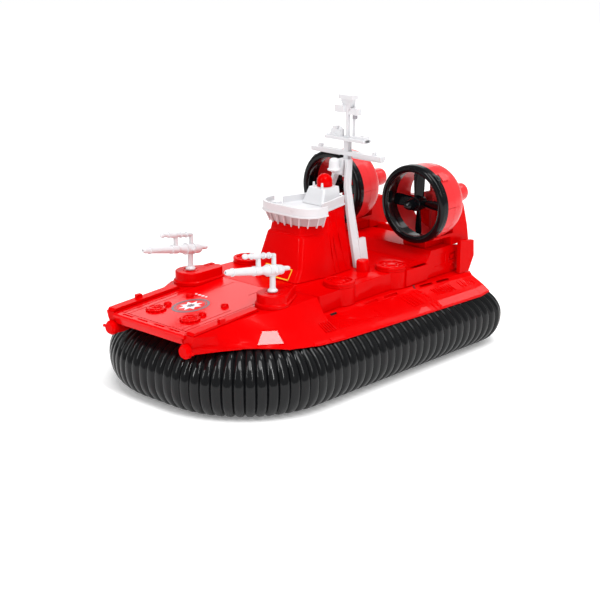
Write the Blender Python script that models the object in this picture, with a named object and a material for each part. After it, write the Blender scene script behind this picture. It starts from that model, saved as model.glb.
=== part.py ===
"""Toy fire-fighting hovercraft: ribbed skirt, red hull, two water cannons, tower, mast and two ducted fans.

The frame is metres with +X to the bow, +Y to port and +Z up, and the floor is at z = 0.
The sizes below are in millimetres, and MM turns them into metres where a mesh is made.
"""
import math

import bmesh
import bpy
from mathutils import Matrix, Vector

MM = 0.001
FIT = 0.3                      # clearance where two mouldings sit on each other

# Skirt: a ribbed ring with rounded corners in plan
SKIRT_HALF_LENGTH = 185.0
SKIRT_HALF_WIDTH = 119.0
SKIRT_HEIGHT = 60.8
SKIRT_BOW_RADIUS = 100.0
SKIRT_STERN_RADIUS = 18.0
SKIRT_LEAST_RADIUS = 6.0       # corner radius of the inner outline at the stern
SKIRT_WIDTH = 56.0             # width of the ring's section
SKIRT_SHOULDER = 1.8           # exponent of the section's upper half, 2 is an ellipse
SKIRT_SQUARENESS = 2.4         # exponent of its lower half
SKIRT_RIBS = 108
SKIRT_GROOVE = 2.4             # depth of the groove between two ribs
SKIRT_SIDES = 12
SKIRT_ROOM = 1.2               # clearance round the ring where it passes the hull and the tray

# Tray that closes the ring from below
TRAY_TOP = 34.0
TRAY_THICKNESS = 8.0
TRAY_REACH = 0.72              # share of the way across the skirt's ring where the tray's edge lies

# Hull levels and the line of its lower edge
PLUG_HALF = 58.0               # half width of the hull's foot inside the skirt
EDGE_HEIGHT = 1.6              # upright rim along the hull's lower edge
ABOVE = 130.0                  # a level above all that is cut
HULL_TOP = 70.0
HULL_STERN = -166.0
HULL_BOW = 184.0
DECK_LEVEL = 87.0
FOREDECK_START = 58.0
FOREDECK_SLOPE = 0.063
FOREDECK_HALF_WIDTH = 46.0
FOREDECK_THICKNESS = 3.5
FOREDECK_END = 186.0
CAVITY_START = 104.0
CAVITY_HALF_WIDTH = 43.5
LIP_DEPTH = 9.0
GUNWALE_OUTER = 56.0
KNUCKLE_Y = 48.4
KNUCKLE_Z = 65.2
BOSS_HEIGHT = 1.8
FOREDECK_BOSSES = ((156.2, 22.1, 8.4), (141.8, 22.8, 3.6), (114.8, 22.8, 3.6))

# Deck houses beside the tower
HOUSE_INNER = 37.7
HOUSE_WALL = 71.0
HOUSE_FORE = 46.0
HOUSE_AFT = -110.0
BOX_FORE = -84.0
BOX_WALL = 74.0
DRUM_RADIUS = 15.0
DRUM_TOP = 92.0
DRUM_Y = 59.3
DRUM_X = (2.8, -72.0)

# Cannon mounts and cannons
MOUNT_X = 85.0
MOUNT_Y = 53.4
MOUNT_TOP = 96.7
MOUNT_FOOT = 83.0
MOUNT_NOSE = 14.5
MOUNT_TAIL = 7.5
MOUNT_TAIL_BACK = 25.0
MOUNT_TAIL_SHIFT = -6.0
POST_RADIUS = 2.6
PIN_DEPTH = 6.0
UPPER_TUBE = 13.5
CANNON_PITCH = math.radians(9.3)
CANNON_AXIS_Z = 117.0

# Tower, bridge and mast
VISOR_REAR = -8.0
VISOR_BOTTOM = 137.0
VISOR_TOP_INSET = 1.2          # how far the visor's head lies inside the bridge's outline
VISOR_FOOT_INSET = 4.4
LOUVRES = 11
LOUVRE_STEP = 1.6              # how far a louvre's edge stands out from the one before
BRIDGE_FRONT = 18.0
BRIDGE_HALF = 35.5
BRIDGE_NARROW = 22.0
BRIDGE_STERN_HALF = 15.5
BRIDGE_AFT = -53.5
BULWARK = 2.0
BEACON_X = -42.0
BEACON_RADIUS = 7.5
LANTERN_X = -55.5
ARM_TOP = 176.5
LEG_TOP = 186.0
LEG_BOTTOM = DECK_LEVEL + FIT
LEG_THICKNESS = 3.4
LEG_FOOT_TOP = 112.5
MAST_X = -75.0
MAST_HALF = 2.6
MAST_DEPTH = 3.0               # half of the pole's fore and aft size
MAST_FOOT = 168.0
MAST_NECK = 208.0              # above this level the pole is slimmer
MAST_TOP = 248.0
PLATFORM_Z = 204.0
YARD_Z = 189.5
BRIDGE_BOTTOM = 146.0
BRIDGE_TOP = 155.5
CABIN_TOP = 164.0

# Fans
FAN_Y = 53.2
FAN_Z = 142.6
RING_RADIUS = 38.7
RING_BORE = 32.8
RING_LIP = 31.4                # bore of the rounded lip at the ring's front
RING_FRONT = -108.5
RING_BACK = -117.5
DUCT_BACK = -147.0
DUCT_RADIUS = 37.6
BOSS_FRONT = -133.0
HUB_RADIUS = 7.2
CLIP_ANGLE = math.radians(-42.0)
ENGINE_TOP = 98.0
ENGINE_HALF = 72.0
BOSS_RADIUS = 9.3
BOSS_BACK = -189.4
BLADE_RADIUS = 30.8
BLADE_ROOT = 4.0
BLADE_SETBACK = 4.4            # the blades' middle lies this far ahead of the hub's back
PEG_PLACE = (-47.5, 44.8)
PEG_RADIUS = 6.4
PEG_TOP = 98.0
HUB_FRONT = -113.0
HUB_BACK = -125.0
SPINNER_TIP = -98.0
SHAFT_RADIUS = 2.0


def material(name, colour, roughness):
    """Return a plain moulded plastic."""
    plastic = bpy.data.materials.new(name)
    plastic.use_nodes = True
    shader = plastic.node_tree.nodes["Principled BSDF"]
    shader.inputs["Base Color"].default_value = (*colour, 1.0)
    shader.inputs["Roughness"].default_value = roughness
    shader.inputs["Metallic"].default_value = 0.0
    plastic.diffuse_color = (*colour, 1.0)
    return plastic


def place(name, mesh_data, plastic, origin=(0.0, 0.0, 0.0), sharp=35.0):
    """Make an object from a bmesh in millimetres, with its origin at the given point."""
    bmesh.ops.recalc_face_normals(mesh_data, faces=mesh_data.faces)
    bmesh.ops.translate(mesh_data, verts=mesh_data.verts, vec=-Vector(origin))
    bmesh.ops.scale(mesh_data, verts=mesh_data.verts, vec=(MM, MM, MM))
    mesh = bpy.data.meshes.new(name)
    mesh_data.to_mesh(mesh)
    mesh_data.free()
    mesh.materials.append(plastic)
    mesh.shade_smooth()
    mesh.set_sharp_from_angle(angle=math.radians(sharp))
    item = bpy.data.objects.new(name, mesh)
    item.location = Vector(origin) * MM
    bpy.context.scene.collection.objects.link(item)
    return item


def combine(item, tool, operation):
    """Apply a Boolean with the tool object and then remove the tool."""
    bpy.context.view_layer.update()
    change = item.modifiers.new("shape", "BOOLEAN")
    change.operation = operation
    change.object = tool
    change.solver = "EXACT"
    graph = bpy.context.evaluated_depsgraph_get()
    result = bpy.data.meshes.new_from_object(item.evaluated_get(graph))
    item.modifiers.remove(change)
    item.data = result
    bpy.data.objects.remove(tool)
    return item


def fuse(item, *tools):
    """Join the tools to the item as one solid."""
    for tool in tools:
        combine(item, tool, "UNION")
    return item


def cut(item, *tools):
    """Take the tools away from the item."""
    for tool in tools:
        combine(item, tool, "DIFFERENCE")
    return item


def loft(sections, closed=False):
    """Skin sections that have the same number of points, with flat ends unless closed."""
    shape = bmesh.new()
    rows = [[shape.verts.new(point) for point in section] for section in sections]
    count = len(rows[0])
    pairs = list(zip(rows, rows[1:]))
    if closed:
        pairs.append((rows[-1], rows[0]))
    for first, second in pairs:
        for i in range(count):
            j = (i + 1) % count
            shape.faces.new((first[i], first[j], second[j], second[i]))
    if not closed:
        shape.faces.new(rows[0])
        shape.faces.new(rows[-1])
    return shape


def prism(outline, low, high, top_outline=None):
    """Extrude a plan outline from one level to another, to another outline if it tapers."""
    top = top_outline or outline
    return loft([[(x, y, low) for x, y in outline], [(x, y, high) for x, y in top]])


def box(x_range, y_range, z_range):
    """Return a block between the given limits."""
    x0, x1 = x_range
    y0, y1 = y_range
    return prism([(x0, y0), (x1, y0), (x1, y1), (x0, y1)], *z_range)


def side_plate(profile, y_start, y_end):
    """Extrude a side profile of (x, z) points across the beam."""
    return loft([[(x, y, z) for x, z in profile] for y in (y_start, y_end)])


def turned(profile, centre, axis, sides):
    """Turn (distance along the axis, radius) pairs into a closed solid of revolution.

    A radius of zero at an end closes it in a point, and any other end is flat.
    """
    direction = Vector(axis).normalized()
    across = direction.orthogonal().normalized()
    over = direction.cross(across)
    base = Vector(centre)
    shape = bmesh.new()
    rows = []
    for along, radius in profile:
        middle = base + direction * along
        if radius == 0.0:
            rows.append([shape.verts.new(middle)])
            continue
        ring = []
        for i in range(sides):
            turn = math.tau * (i + 0.5) / sides
            ring.append(shape.verts.new(middle + (across * math.cos(turn) + over * math.sin(turn)) * radius))
        rows.append(ring)
    for first, second in zip(rows, rows[1:]):
        for i in range(sides):
            j = (i + 1) % sides
            near = [first[i % len(first)], first[j % len(first)]]
            far = [second[j % len(second)], second[i % len(second)]]
            shape.faces.new(list(dict.fromkeys(near + far)))
    for row in (rows[0], rows[-1]):
        if len(row) > 1:
            shape.faces.new(row)
    return shape


def hoop(profile, centre, axis, sides):
    """Turn a closed (distance along the axis, radius) outline into a ring with a bore."""
    direction = Vector(axis).normalized()
    across = direction.orthogonal().normalized()
    over = direction.cross(across)
    base = Vector(centre)
    sections = []
    for i in range(sides):
        turn = math.tau * (i + 0.5) / sides
        spoke = across * math.cos(turn) + over * math.sin(turn)
        sections.append([base + direction * along + spoke * radius for along, radius in profile])
    return loft(sections, closed=True)


def arc(centre_x, centre_y, radius, start, end, steps):
    """Return points on an arc, in degrees from the bow towards port."""
    points = []
    for i in range(steps + 1):
        turn = math.radians(start + (end - start) * i / steps)
        points.append((centre_x + radius * math.cos(turn), centre_y + radius * math.sin(turn)))
    return points


def mirrored(outline):
    """Return an outline on the starboard side."""
    return [(x, -y) for x, y in reversed(outline)]


def outline_corners(inset):
    """Return centre, radius and start angle of the skirt's corners in plan, from the bow's port one."""
    bow = SKIRT_BOW_RADIUS - inset
    stern = max(SKIRT_STERN_RADIUS - inset, SKIRT_LEAST_RADIUS)
    fore = SKIRT_HALF_LENGTH - inset - bow
    aft = SKIRT_HALF_LENGTH - inset - stern
    fore_side = SKIRT_HALF_WIDTH - inset - bow
    aft_side = SKIRT_HALF_WIDTH - inset - stern
    return ((fore, fore_side, bow, 0.0), (-aft, aft_side, stern, 90.0),
            (-aft, -aft_side, stern, 180.0), (fore, -fore_side, bow, 270.0))


def corner_point(corner, share):
    """Return the point at a share of the way round a corner's arc."""
    x, y, radius, start = corner
    turn = math.radians(start + 90.0 * share)
    return Vector((x + radius * math.cos(turn), y + radius * math.sin(turn)))


def outline_stretches():
    """Return the length of each arc and each straight of the skirt's outer outline."""
    corners = outline_corners(0.0)
    lengths = []
    for corner, following in zip(corners, corners[1:] + corners[:1]):
        lengths.append(math.pi / 2.0 * corner[2])
        lengths.append((corner_point(following, 0.0) - corner_point(corner, 1.0)).length)
    return lengths


def skirt_point(share, across):
    """Return the plan point at a share of the way round, between the outer outline and the inner one."""
    lengths = outline_stretches()
    rest = (share % 1.0) * sum(lengths)
    stretch = 0
    while rest > lengths[stretch] and stretch < len(lengths) - 1:
        rest -= lengths[stretch]
        stretch += 1
    part_way = rest / lengths[stretch]
    points = []
    for inset in (0.0, SKIRT_WIDTH):
        corners = outline_corners(inset)
        corner = corners[stretch // 2]
        if stretch % 2 == 0:
            points.append(corner_point(corner, part_way))
        else:
            following = corners[(stretch // 2 + 1) % len(corners)]
            points.append(corner_point(corner, 1.0).lerp(corner_point(following, 0.0), part_way))
    return points[0].lerp(points[1], across)


def skirt_ring(stations, sides, grow, groove):
    """Return the skirt's ring, grown by a clearance, with a groove at every other station."""
    middle = SKIRT_HEIGHT / 2.0
    sections = []
    for i in range(stations):
        depth = groove if i % 2 else 0.0
        swell = 1.0 + (grow - depth) / (SKIRT_WIDTH / 2.0)
        section = []
        for k in range(sides):
            turn = math.tau * (k + 0.5) / sides
            power = 2.0 / (SKIRT_SHOULDER if math.sin(turn) > 0.0 else SKIRT_SQUARENESS)
            wide = math.copysign(abs(math.cos(turn)) ** power, math.cos(turn))
            tall = math.copysign(abs(math.sin(turn)) ** power, math.sin(turn))
            point = skirt_point(i / stations, (1.0 - wide * swell) / 2.0)
            section.append((point.x, point.y, middle + tall * (middle + grow - depth)))
        sections.append(section)
    return loft(sections, closed=True)


def skirt_space():
    """Return a smooth cutter that leaves room for the skirt."""
    return place("skirt_space", skirt_ring(SKIRT_RIBS, 24, SKIRT_ROOM, 0.0), BLACK)


def make_skirt():
    """Black ribbed skirt."""
    shape = skirt_ring(2 * SKIRT_RIBS, SKIRT_SIDES, 0.0, SKIRT_GROOVE)
    scale = SKIRT_HEIGHT / (2.0 * max(abs(v.co.z - SKIRT_HEIGHT / 2.0) for v in shape.verts))
    for vert in shape.verts:
        vert.co.z = SKIRT_HEIGHT / 2.0 + (vert.co.z - SKIRT_HEIGHT / 2.0) * scale
    place("skirt", shape, BLACK)


def make_tray():
    """Black tray that closes the ring from below and carries the hull."""
    outline = [tuple(skirt_point(i / 60.0, TRAY_REACH)) for i in range(60)]
    tray = place("base_tray", prism(outline, TRAY_TOP - TRAY_THICKNESS, TRAY_TOP), BLACK)
    cut(tray, skirt_space())


def foredeck_level(x):
    """Return the height of the foredeck's top."""
    return DECK_LEVEL - max(0.0, x - FOREDECK_START) * FOREDECK_SLOPE


# Stations along the hull: x, floor, lower edge (y, z), flare foot (y, z), flare top (y, z), wall top y
HULL_STATIONS = (
    (-166.0, 34.3, 108.5, 53.2, 101.0, 59.6, 87.0, 66.5, 84.0),
    (-150.0, 34.3, 110.6, 52.4, 102.5, 59.4, 86.0, 66.5, 84.0),
    (-80.0, 34.3, 109.4, 53.2, 101.5, 59.8, 80.0, 66.5, 76.0),
    (0.0, 34.3, 108.0, 54.2, 100.5, 60.4, 77.5, 66.5, 74.0),
    (45.0, 34.3, 107.0, 55.0, 99.5, 61.0, 78.0, 68.0, 74.0),
    (46.0, 34.3, 107.0, 55.0, 99.5, 61.0, 80.0, 72.0, 71.0),
    (58.0, 34.3, 106.4, 55.6, 98.5, 61.5, 81.0, 72.0, 70.5),
    (80.0, 34.3, 104.8, 56.4, 97.0, 61.8, 82.0, 72.0, 70.0),
    (96.0, 34.3, 101.8, 57.3, 94.0, 62.4, 80.0, 72.0, 69.0),
    (110.0, 61.5, 97.5, 58.6, 89.0, 63.4, 75.0, 72.0, 62.5),
    (126.0, 61.5, 84.5, 60.4, 78.0, 65.5, 67.5, 73.5, 58.5),
    (140.0, 61.5, 71.7, 61.0, 68.5, 66.0, 62.5, 74.0, 57.5),
    (158.0, 61.5, 61.0, 61.0, 60.0, 66.5, 58.5, 74.0, 57.0),
    (184.0, 62.0, 50.0, 61.5, 52.0, 67.0, 55.0, 73.0, 57.0),
)


def make_hull():
    """Red lower hull with flared sides and the bow's side walls."""
    sections = []
    for x, floor, edge_y, edge_z, low_y, low_z, high_y, high_z, top_y in HULL_STATIONS:
        top_z = foredeck_level(x) if x >= HOUSE_FORE else HULL_TOP
        half = (
            (min(PLUG_HALF, edge_y - 14.0), floor), (edge_y - 10.0, edge_z - 1.0), (edge_y, edge_z),
            (edge_y, edge_z + EDGE_HEIGHT), (low_y, low_z), (high_y, high_z), (top_y, top_z),
        )
        port = [(x, y, z) for y, z in half]
        starboard = [(x, -y, z) for y, z in reversed(half)]
        sections.append(port + starboard)
    hull = place("lower_hull", loft(sections), RED)
    cut(hull, skirt_space())
    bow = HULL_BOW + 20.0
    start = FOREDECK_START - FIT
    under = FOREDECK_THICKNESS + FIT
    wide = FOREDECK_HALF_WIDTH + FIT
    recess = [(start, foredeck_level(start) - under), (bow, foredeck_level(bow) - under),
              (bow, ABOVE), (start, ABOVE)]
    cut(hull, place("recess", side_plate(recess, -wide, wide), RED))
    neck = box((HOUSE_FORE - 1.0, FOREDECK_START), (-HOUSE_INNER - FIT, HOUSE_INNER + FIT),
               (DECK_LEVEL - under, ABOVE))
    cut(hull, place("neck", neck, RED))
    hollow = box((CAVITY_START, bow), (-CAVITY_HALF_WIDTH, CAVITY_HALF_WIDTH), (20.0, ABOVE))
    cut(hull, place("hollow", hollow, RED))
    well = box((HULL_STERN - 20.0, HOUSE_FORE), (-ABOVE, ABOVE), (HULL_TOP, ABOVE))
    cut(hull, place("well", well, RED))
    return hull


def make_foredeck():
    """Sloping foredeck panel with its lip and its round bosses."""
    end = FOREDECK_END
    start = FOREDECK_START
    level = foredeck_level(end)
    under = FOREDECK_THICKNESS
    profile = [(start, foredeck_level(start)), (end - 1.0, level), (end, level - 1.2), (end, level - under),
               (start, foredeck_level(start) - under)]
    panel = place("foredeck", side_plate(profile, -FOREDECK_HALF_WIDTH, FOREDECK_HALF_WIDTH), RED)
    lip = [(end, level - 2.0), (end - 1.5, level - LIP_DEPTH), (end - 4.0, level - LIP_DEPTH),
           (end - 4.0, level - 2.0)]
    wide = CAVITY_HALF_WIDTH - FIT
    fuse(panel, place("lip", side_plate(lip, -wide, wide), RED))
    for x, y, radius in FOREDECK_BOSSES:
        for side in (1.0, -1.0):
            profile = [(-1.5, radius), (BOSS_HEIGHT - 0.5, radius), (BOSS_HEIGHT, radius - 0.7)]
            knob = turned(profile, (x, side * y, foredeck_level(x)), (0.0, 0.0, 1.0), 16)
            fuse(panel, place("knob", knob, RED))


def make_gunwale(name, side):
    """Raised rail along the foredeck's side, with a cleat."""
    inner = side * (FOREDECK_HALF_WIDTH + 1.0)
    outer = side * GUNWALE_OUTER
    lower = [(x, foredeck_level(x) + FIT) for x in (184.0, 104.0)]
    raised = [(x, foredeck_level(x) + 2.8) for x in (106.0, 182.0)]
    rail = place(name, side_plate(lower + raised, inner, outer), RED)
    cleat = box((146.0, 152.0), (side * 52.0, outer), (82.5, 87.0))
    fuse(rail, place("cleat", cleat, RED))


def make_knuckle(name, side):
    """Round hinge knuckle at the bow's corner, with its short pin."""
    y = side * KNUCKLE_Y
    profile = [(0.0, 5.6), (4.0, 6.6), (15.0, 6.6), (17.2, 5.0)]
    shape = turned(profile, (172.2, y, KNUCKLE_Z), (1.0, 0.0, 0.0), 18)
    knuckle = place(name, shape, RED)
    pin = turned([(0.0, 1.5), (10.0, 1.5)], (186.6, y, KNUCKLE_Z), (0.0, side, 0.0), 10)
    fuse(knuckle, place("pin", pin, RED))
    room = box((160.0, HULL_BOW + FIT), (side * (CAVITY_HALF_WIDTH - FIT), side * 70.0), (40.0, 100.0))
    lip = box((178.0, FOREDECK_END + FIT), (0.0, side * CAVITY_HALF_WIDTH),
              (foredeck_level(FOREDECK_END) - LIP_DEPTH - FIT, 100.0))
    cut(knuckle, place("room", room, RED), place("lip", lip, RED))


def drop_outline(grow):
    """Return the drop-shaped plan of a cannon mount, grown by a distance."""
    nose = arc(MOUNT_X, 0.0, MOUNT_NOSE + grow, -98.0, 104.0, 14)
    tail = arc(MOUNT_X - MOUNT_TAIL_BACK, MOUNT_TAIL_SHIFT, MOUNT_TAIL + grow, 104.0, 262.0, 8)
    return nose + tail


def make_mount(name, side):
    """Drop-shaped turret under a cannon, with its foot and the post's bore."""
    levels = ((MOUNT_FOOT, 1.6), (MOUNT_FOOT + 4.6, 1.6), (MOUNT_FOOT + 5.8, 0.0), (MOUNT_TOP - 0.8, 0.0),
              (MOUNT_TOP, -0.8))
    sections = []
    for z, grow in levels:
        sections.append([(x, side * (MOUNT_Y + y), z) for x, y in drop_outline(grow)])
    mount = place(name, loft(sections), RED)
    bore = turned([(-PIN_DEPTH, POST_RADIUS + FIT), (2.0, POST_RADIUS + FIT)],
                  (MOUNT_X, side * MOUNT_Y, MOUNT_TOP), (0.0, 0.0, 1.0), 20)
    cut(mount, place("bore", bore, RED))
    mark = box((MOUNT_X - 30.0, MOUNT_X - 20.0), (side * MOUNT_Y - 3.0, side * MOUNT_Y + 1.0),
               (MOUNT_TOP - 0.5, MOUNT_TOP + 0.6))
    fuse(mount, place("mark", mark, RED))
    seat = side_plate([(0.0, 0.0), (200.0, 0.0), (200.0, foredeck_level(200.0) + FIT),
                       (FOREDECK_START, DECK_LEVEL + FIT), (0.0, DECK_LEVEL + FIT)], side * 20.0, side * 90.0)
    cut(mount, place("seat", seat, RED))


def inclined(x, z, length):
    """Return a point forward along the barrel's pitch from a point on the cannon."""
    return (MOUNT_X + x + length * math.cos(CANNON_PITCH), z + length * math.sin(CANNON_PITCH))


def make_cannon(name, side):
    """White water cannon: post, body, long barrel, upper tube and handle in one moulding."""
    y = side * MOUNT_Y
    upwards = (0.0, 0.0, 1.0)
    forwards = (math.cos(CANNON_PITCH), 0.0, math.sin(CANNON_PITCH))
    stand = MOUNT_TOP + FIT
    lift = CANNON_AXIS_Z - stand
    post = turned([(-PIN_DEPTH + 1.0, POST_RADIUS), (0.0, POST_RADIUS), (0.0, 4.4), (1.8, 4.4), (2.6, 3.4),
                   (3.6, POST_RADIUS), (lift, POST_RADIUS), (lift + 2.0, POST_RADIUS)],
                  (MOUNT_X, y, stand), upwards, 16)
    cannon = place(name, post, WHITE, (MOUNT_X, y, stand))
    body = turned([(-13.0, 2.8), (-12.0, 4.2), (-3.0, 4.8), (6.0, 4.8), (12.0, 3.4), (15.0, 3.4), (16.0, 4.0),
                   (20.0, 4.0), (30.0, 3.6), (57.0, 2.6), (58.6, 1.6)],
                  (MOUNT_X, y, CANNON_AXIS_Z), forwards, 14)
    grip = [(-22.0, 1.2), (-21.0, 2.0), (-11.0, 2.2)]
    handle = turned(grip, (MOUNT_X, y, CANNON_AXIS_Z + 1.0), forwards, 10)
    upper = turned([(-3.0, 2.0), (17.0, 2.2), (18.0, 2.8), (22.0, 2.8), (31.0, 1.7), (33.0, 2.4), (36.0, 2.4),
                    (37.0, 1.6)], (MOUNT_X, y, CANNON_AXIS_Z + UPPER_TUBE), forwards, 10)
    rear = turned([(-2.0, 2.0), (UPPER_TUBE + 1.6, 2.0)], (MOUNT_X - 1.6, y, CANNON_AXIS_Z), upwards, 10)
    x, z = inclined(0.0, CANNON_AXIS_Z, 18.0)
    bracket = turned([(-2.0, 2.4), (UPPER_TUBE + 1.0, 2.0)], (x, y, z), upwards, 10)
    for tool in (body, handle, upper, rear, bracket):
        fuse(cannon, place("tool", tool, WHITE))


def make_deck():
    """Red middle deck that carries the tower and the mast."""
    deck = box((HOUSE_AFT, FOREDECK_START - 2.0 * FIT), (-HOUSE_INNER, HOUSE_INNER),
               (HULL_TOP + FIT, DECK_LEVEL))
    item = place("mid_deck", deck, RED)
    step = box((HOUSE_FORE - FIT, 100.0), (-80.0, 80.0), (60.0, DECK_LEVEL - FOREDECK_THICKNESS))
    return cut(item, place("step", step, RED))


def make_house(name, side):
    """Side house beside the tower, with half-round bulges under the lift fan covers."""
    inner = HOUSE_INNER + FIT
    fore = HOUSE_FORE - FIT
    outline = [(fore, inner), (fore, 64.0), (fore - 3.0, HOUSE_WALL), (BOX_FORE, HOUSE_WALL - 2.5),
               (BOX_FORE - 6.0, BOX_WALL), (HOUSE_AFT, BOX_WALL), (HOUSE_AFT, inner)]
    outline = [(x, side * y) for x, y in outline]
    house = place(name, prism(outline, HULL_TOP + FIT, DECK_LEVEL), RED)
    for x in DRUM_X:
        bulge = turned([(0.0, DRUM_RADIUS), (DECK_LEVEL - HULL_TOP - FIT, DRUM_RADIUS)],
                       (x, side * DRUM_Y, HULL_TOP + FIT), (0.0, 0.0, 1.0), 28)
        fuse(house, place("bulge", bulge, RED))
    x, y = PEG_PLACE
    tall = PEG_TOP - DECK_LEVEL
    peg = turned([(0.0, PEG_RADIUS), (tall, PEG_RADIUS), (tall + 1.0, PEG_RADIUS - 1.0)],
                 (x, side * y, DECK_LEVEL - 1.0), (0.0, 0.0, 1.0), 20)
    fuse(house, place("peg", peg, RED))


def make_drum(name, x, side):
    """Round lift fan cover with a dished top."""
    tall = DRUM_TOP - DECK_LEVEL - FIT
    profile = [(0.0, DRUM_RADIUS), (tall - 1.0, DRUM_RADIUS), (tall, DRUM_RADIUS - 1.2),
               (tall, DRUM_RADIUS - 3.4), (tall - 1.4, DRUM_RADIUS - 4.0), (tall - 1.4, 5.0),
               (tall - 0.2, 4.2)]
    place(name, turned(profile, (x, side * DRUM_Y, DECK_LEVEL + FIT), (0.0, 0.0, 1.0), 28), RED)


# Tower levels: height, front x, front half width, side (x, y), rear (x, y)
TOWER_LEVELS = (
    (87.3, 30.0, 29.6, -6.0, 35.0, -44.5, 33.0),
    (98.0, 22.5, 28.2, -8.0, 33.0, -45.5, 29.4),
    (127.0, 15.5, 22.4, -9.0, 29.5, -49.0, 20.6),
    (128.5, 13.0, 21.2, -9.5, 28.0, -49.6, 20.0),
    (136.7, 11.5, 20.4, -10.0, 27.0, -51.0, 17.6),
    (145.7, 11.5, 20.4, -10.0, 26.5, -52.0, 15.5),
)
TOWER_CORNER = ((0.0, 3.4), (1.0, 1.2), (3.6, -0.6))    # insets from the front and from the half width


def both_sides(points):
    """Close a port-side list of (x, y, z) points with its mirror image."""
    return points + [(x, -y, z) for x, y, z in reversed(points)]


def make_tower():
    """Tapered red tower, stepped back at its neck and cut down under the visor."""
    sections = []
    for z, front, half, side_x, side_y, rear_x, rear_y in TOWER_LEVELS:
        port = [(front - back, half - inward, z) for back, inward in TOWER_CORNER]
        port += [(side_x, side_y, z), (rear_x, rear_y, z)]
        sections.append(both_sides(port))
    tower = place("tower", loft(sections), RED)
    shelf = box((VISOR_REAR - FIT, 60.0), (-60.0, 60.0), (VISOR_BOTTOM - FIT, BRIDGE_TOP))
    cut(tower, place("shelf", shelf, RED))


def louvre_outline(inset):
    """Return the toothed plan outline of the visor, from starboard round the bow side to port."""
    port = [(x, y) for x, y in bridge_outline(inset) if x >= VISOR_REAR - inset and y > 0.0]
    path = [(VISOR_REAR, -port[-1][1])] + mirrored(port[:-2]) + port[:-2] + [(VISOR_REAR, port[-2][1])]
    lengths = [math.dist(a, b) for a, b in zip(path, path[1:])]
    points = []
    for i in range(2 * LOUVRES):
        rest = (i // 2 + (0.08 if i % 2 == 0 else 0.92)) / LOUVRES * sum(lengths)
        for a, b, length in zip(path, path[1:], lengths):
            if rest <= length:
                break
            rest -= length
        run = Vector((b[0] - a[0], b[1] - a[1])).normalized()
        out = Vector((run.y, -run.x))
        depth = 0.0 if i % 2 else -LOUVRE_STEP
        points.append((a[0] + run.x * rest + out.x * depth, a[1] + run.y * rest + out.y * depth))
    return points


def make_visor():
    """White band of slanted window louvres under the bridge deck."""
    low = louvre_outline(VISOR_FOOT_INSET)
    high = louvre_outline(VISOR_TOP_INSET)
    place("window_visor", prism(low, VISOR_BOTTOM, BRIDGE_BOTTOM - FIT, high), WHITE)


def bridge_outline(inset):
    """Return the bridge deck's plan, wide and rounded at the bow and narrow aft."""
    front = BRIDGE_FRONT - inset
    half = BRIDGE_HALF - inset
    narrow = BRIDGE_NARROW - inset
    port = [(front, half - 20.0), (front - 1.6, half - 12.0), (front - 6.0, half - 5.0),
            (front - 13.0, half - 1.0), (front - 20.0, half), (VISOR_REAR - inset, half),
            (VISOR_REAR - inset, narrow + 4.0), (BRIDGE_AFT + inset, BRIDGE_STERN_HALF - inset)]
    return port + mirrored(port)


def make_bridge():
    """White bridge deck with its bulwark."""
    deck = place("bridge_deck", prism(bridge_outline(0.0), BRIDGE_BOTTOM, BRIDGE_TOP), WHITE)
    well = prism(bridge_outline(BULWARK), BRIDGE_BOTTOM + 3.0, BRIDGE_TOP + 5.0)
    return cut(deck, place("well", well, WHITE))


def make_cabin():
    """White upper cabin with two short prongs at the roof's front edge."""
    floor = BRIDGE_BOTTOM + 3.0 + FIT
    low = both_sides([(-23.5, 12.0, floor), (-25.5, 13.6, floor), (-50.6, 13.0, floor)])
    high = both_sides([(-30.0, 9.0, CABIN_TOP), (-31.5, 10.4, CABIN_TOP), (-51.2, 10.0, CABIN_TOP)])
    cabin = place("upper_cabin", loft([low, high]), WHITE)
    for side in (1.0, -1.0):
        place_on_roof = (-32.6, side * 5.3, CABIN_TOP)
        prong = turned([(-2.0, 1.5), (1.0, 1.4), (5.0, 1.0)], place_on_roof, (0.0, 0.0, 1.0), 8)
        fuse(cabin, place("prong", prong, WHITE))


def make_beacon():
    """Red beacon dome on the cabin roof."""
    radius = BEACON_RADIUS
    profile = [(0.0, radius), (4.6, radius)]
    for angle in (22.0, 45.0, 68.0):
        turn = math.radians(angle)
        profile.append((4.6 + radius * math.sin(turn), radius * math.cos(turn)))
    profile.append((4.6 + radius, 0.0))
    place("beacon", turned(profile, (BEACON_X, 0.0, CABIN_TOP + FIT), (0.0, 0.0, 1.0), 20), RED)


def make_lantern():
    """White lantern that stands on the mast's forward arm."""
    profile = [(0.0, 3.0), (1.2, 6.4), (2.2, 6.4), (2.8, 5.2), (10.5, 4.6), (12.5, 2.6)]
    place("lantern", turned(profile, (LANTERN_X, 0.0, ARM_TOP + FIT), (0.0, 0.0, 1.0), 14), WHITE)


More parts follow.
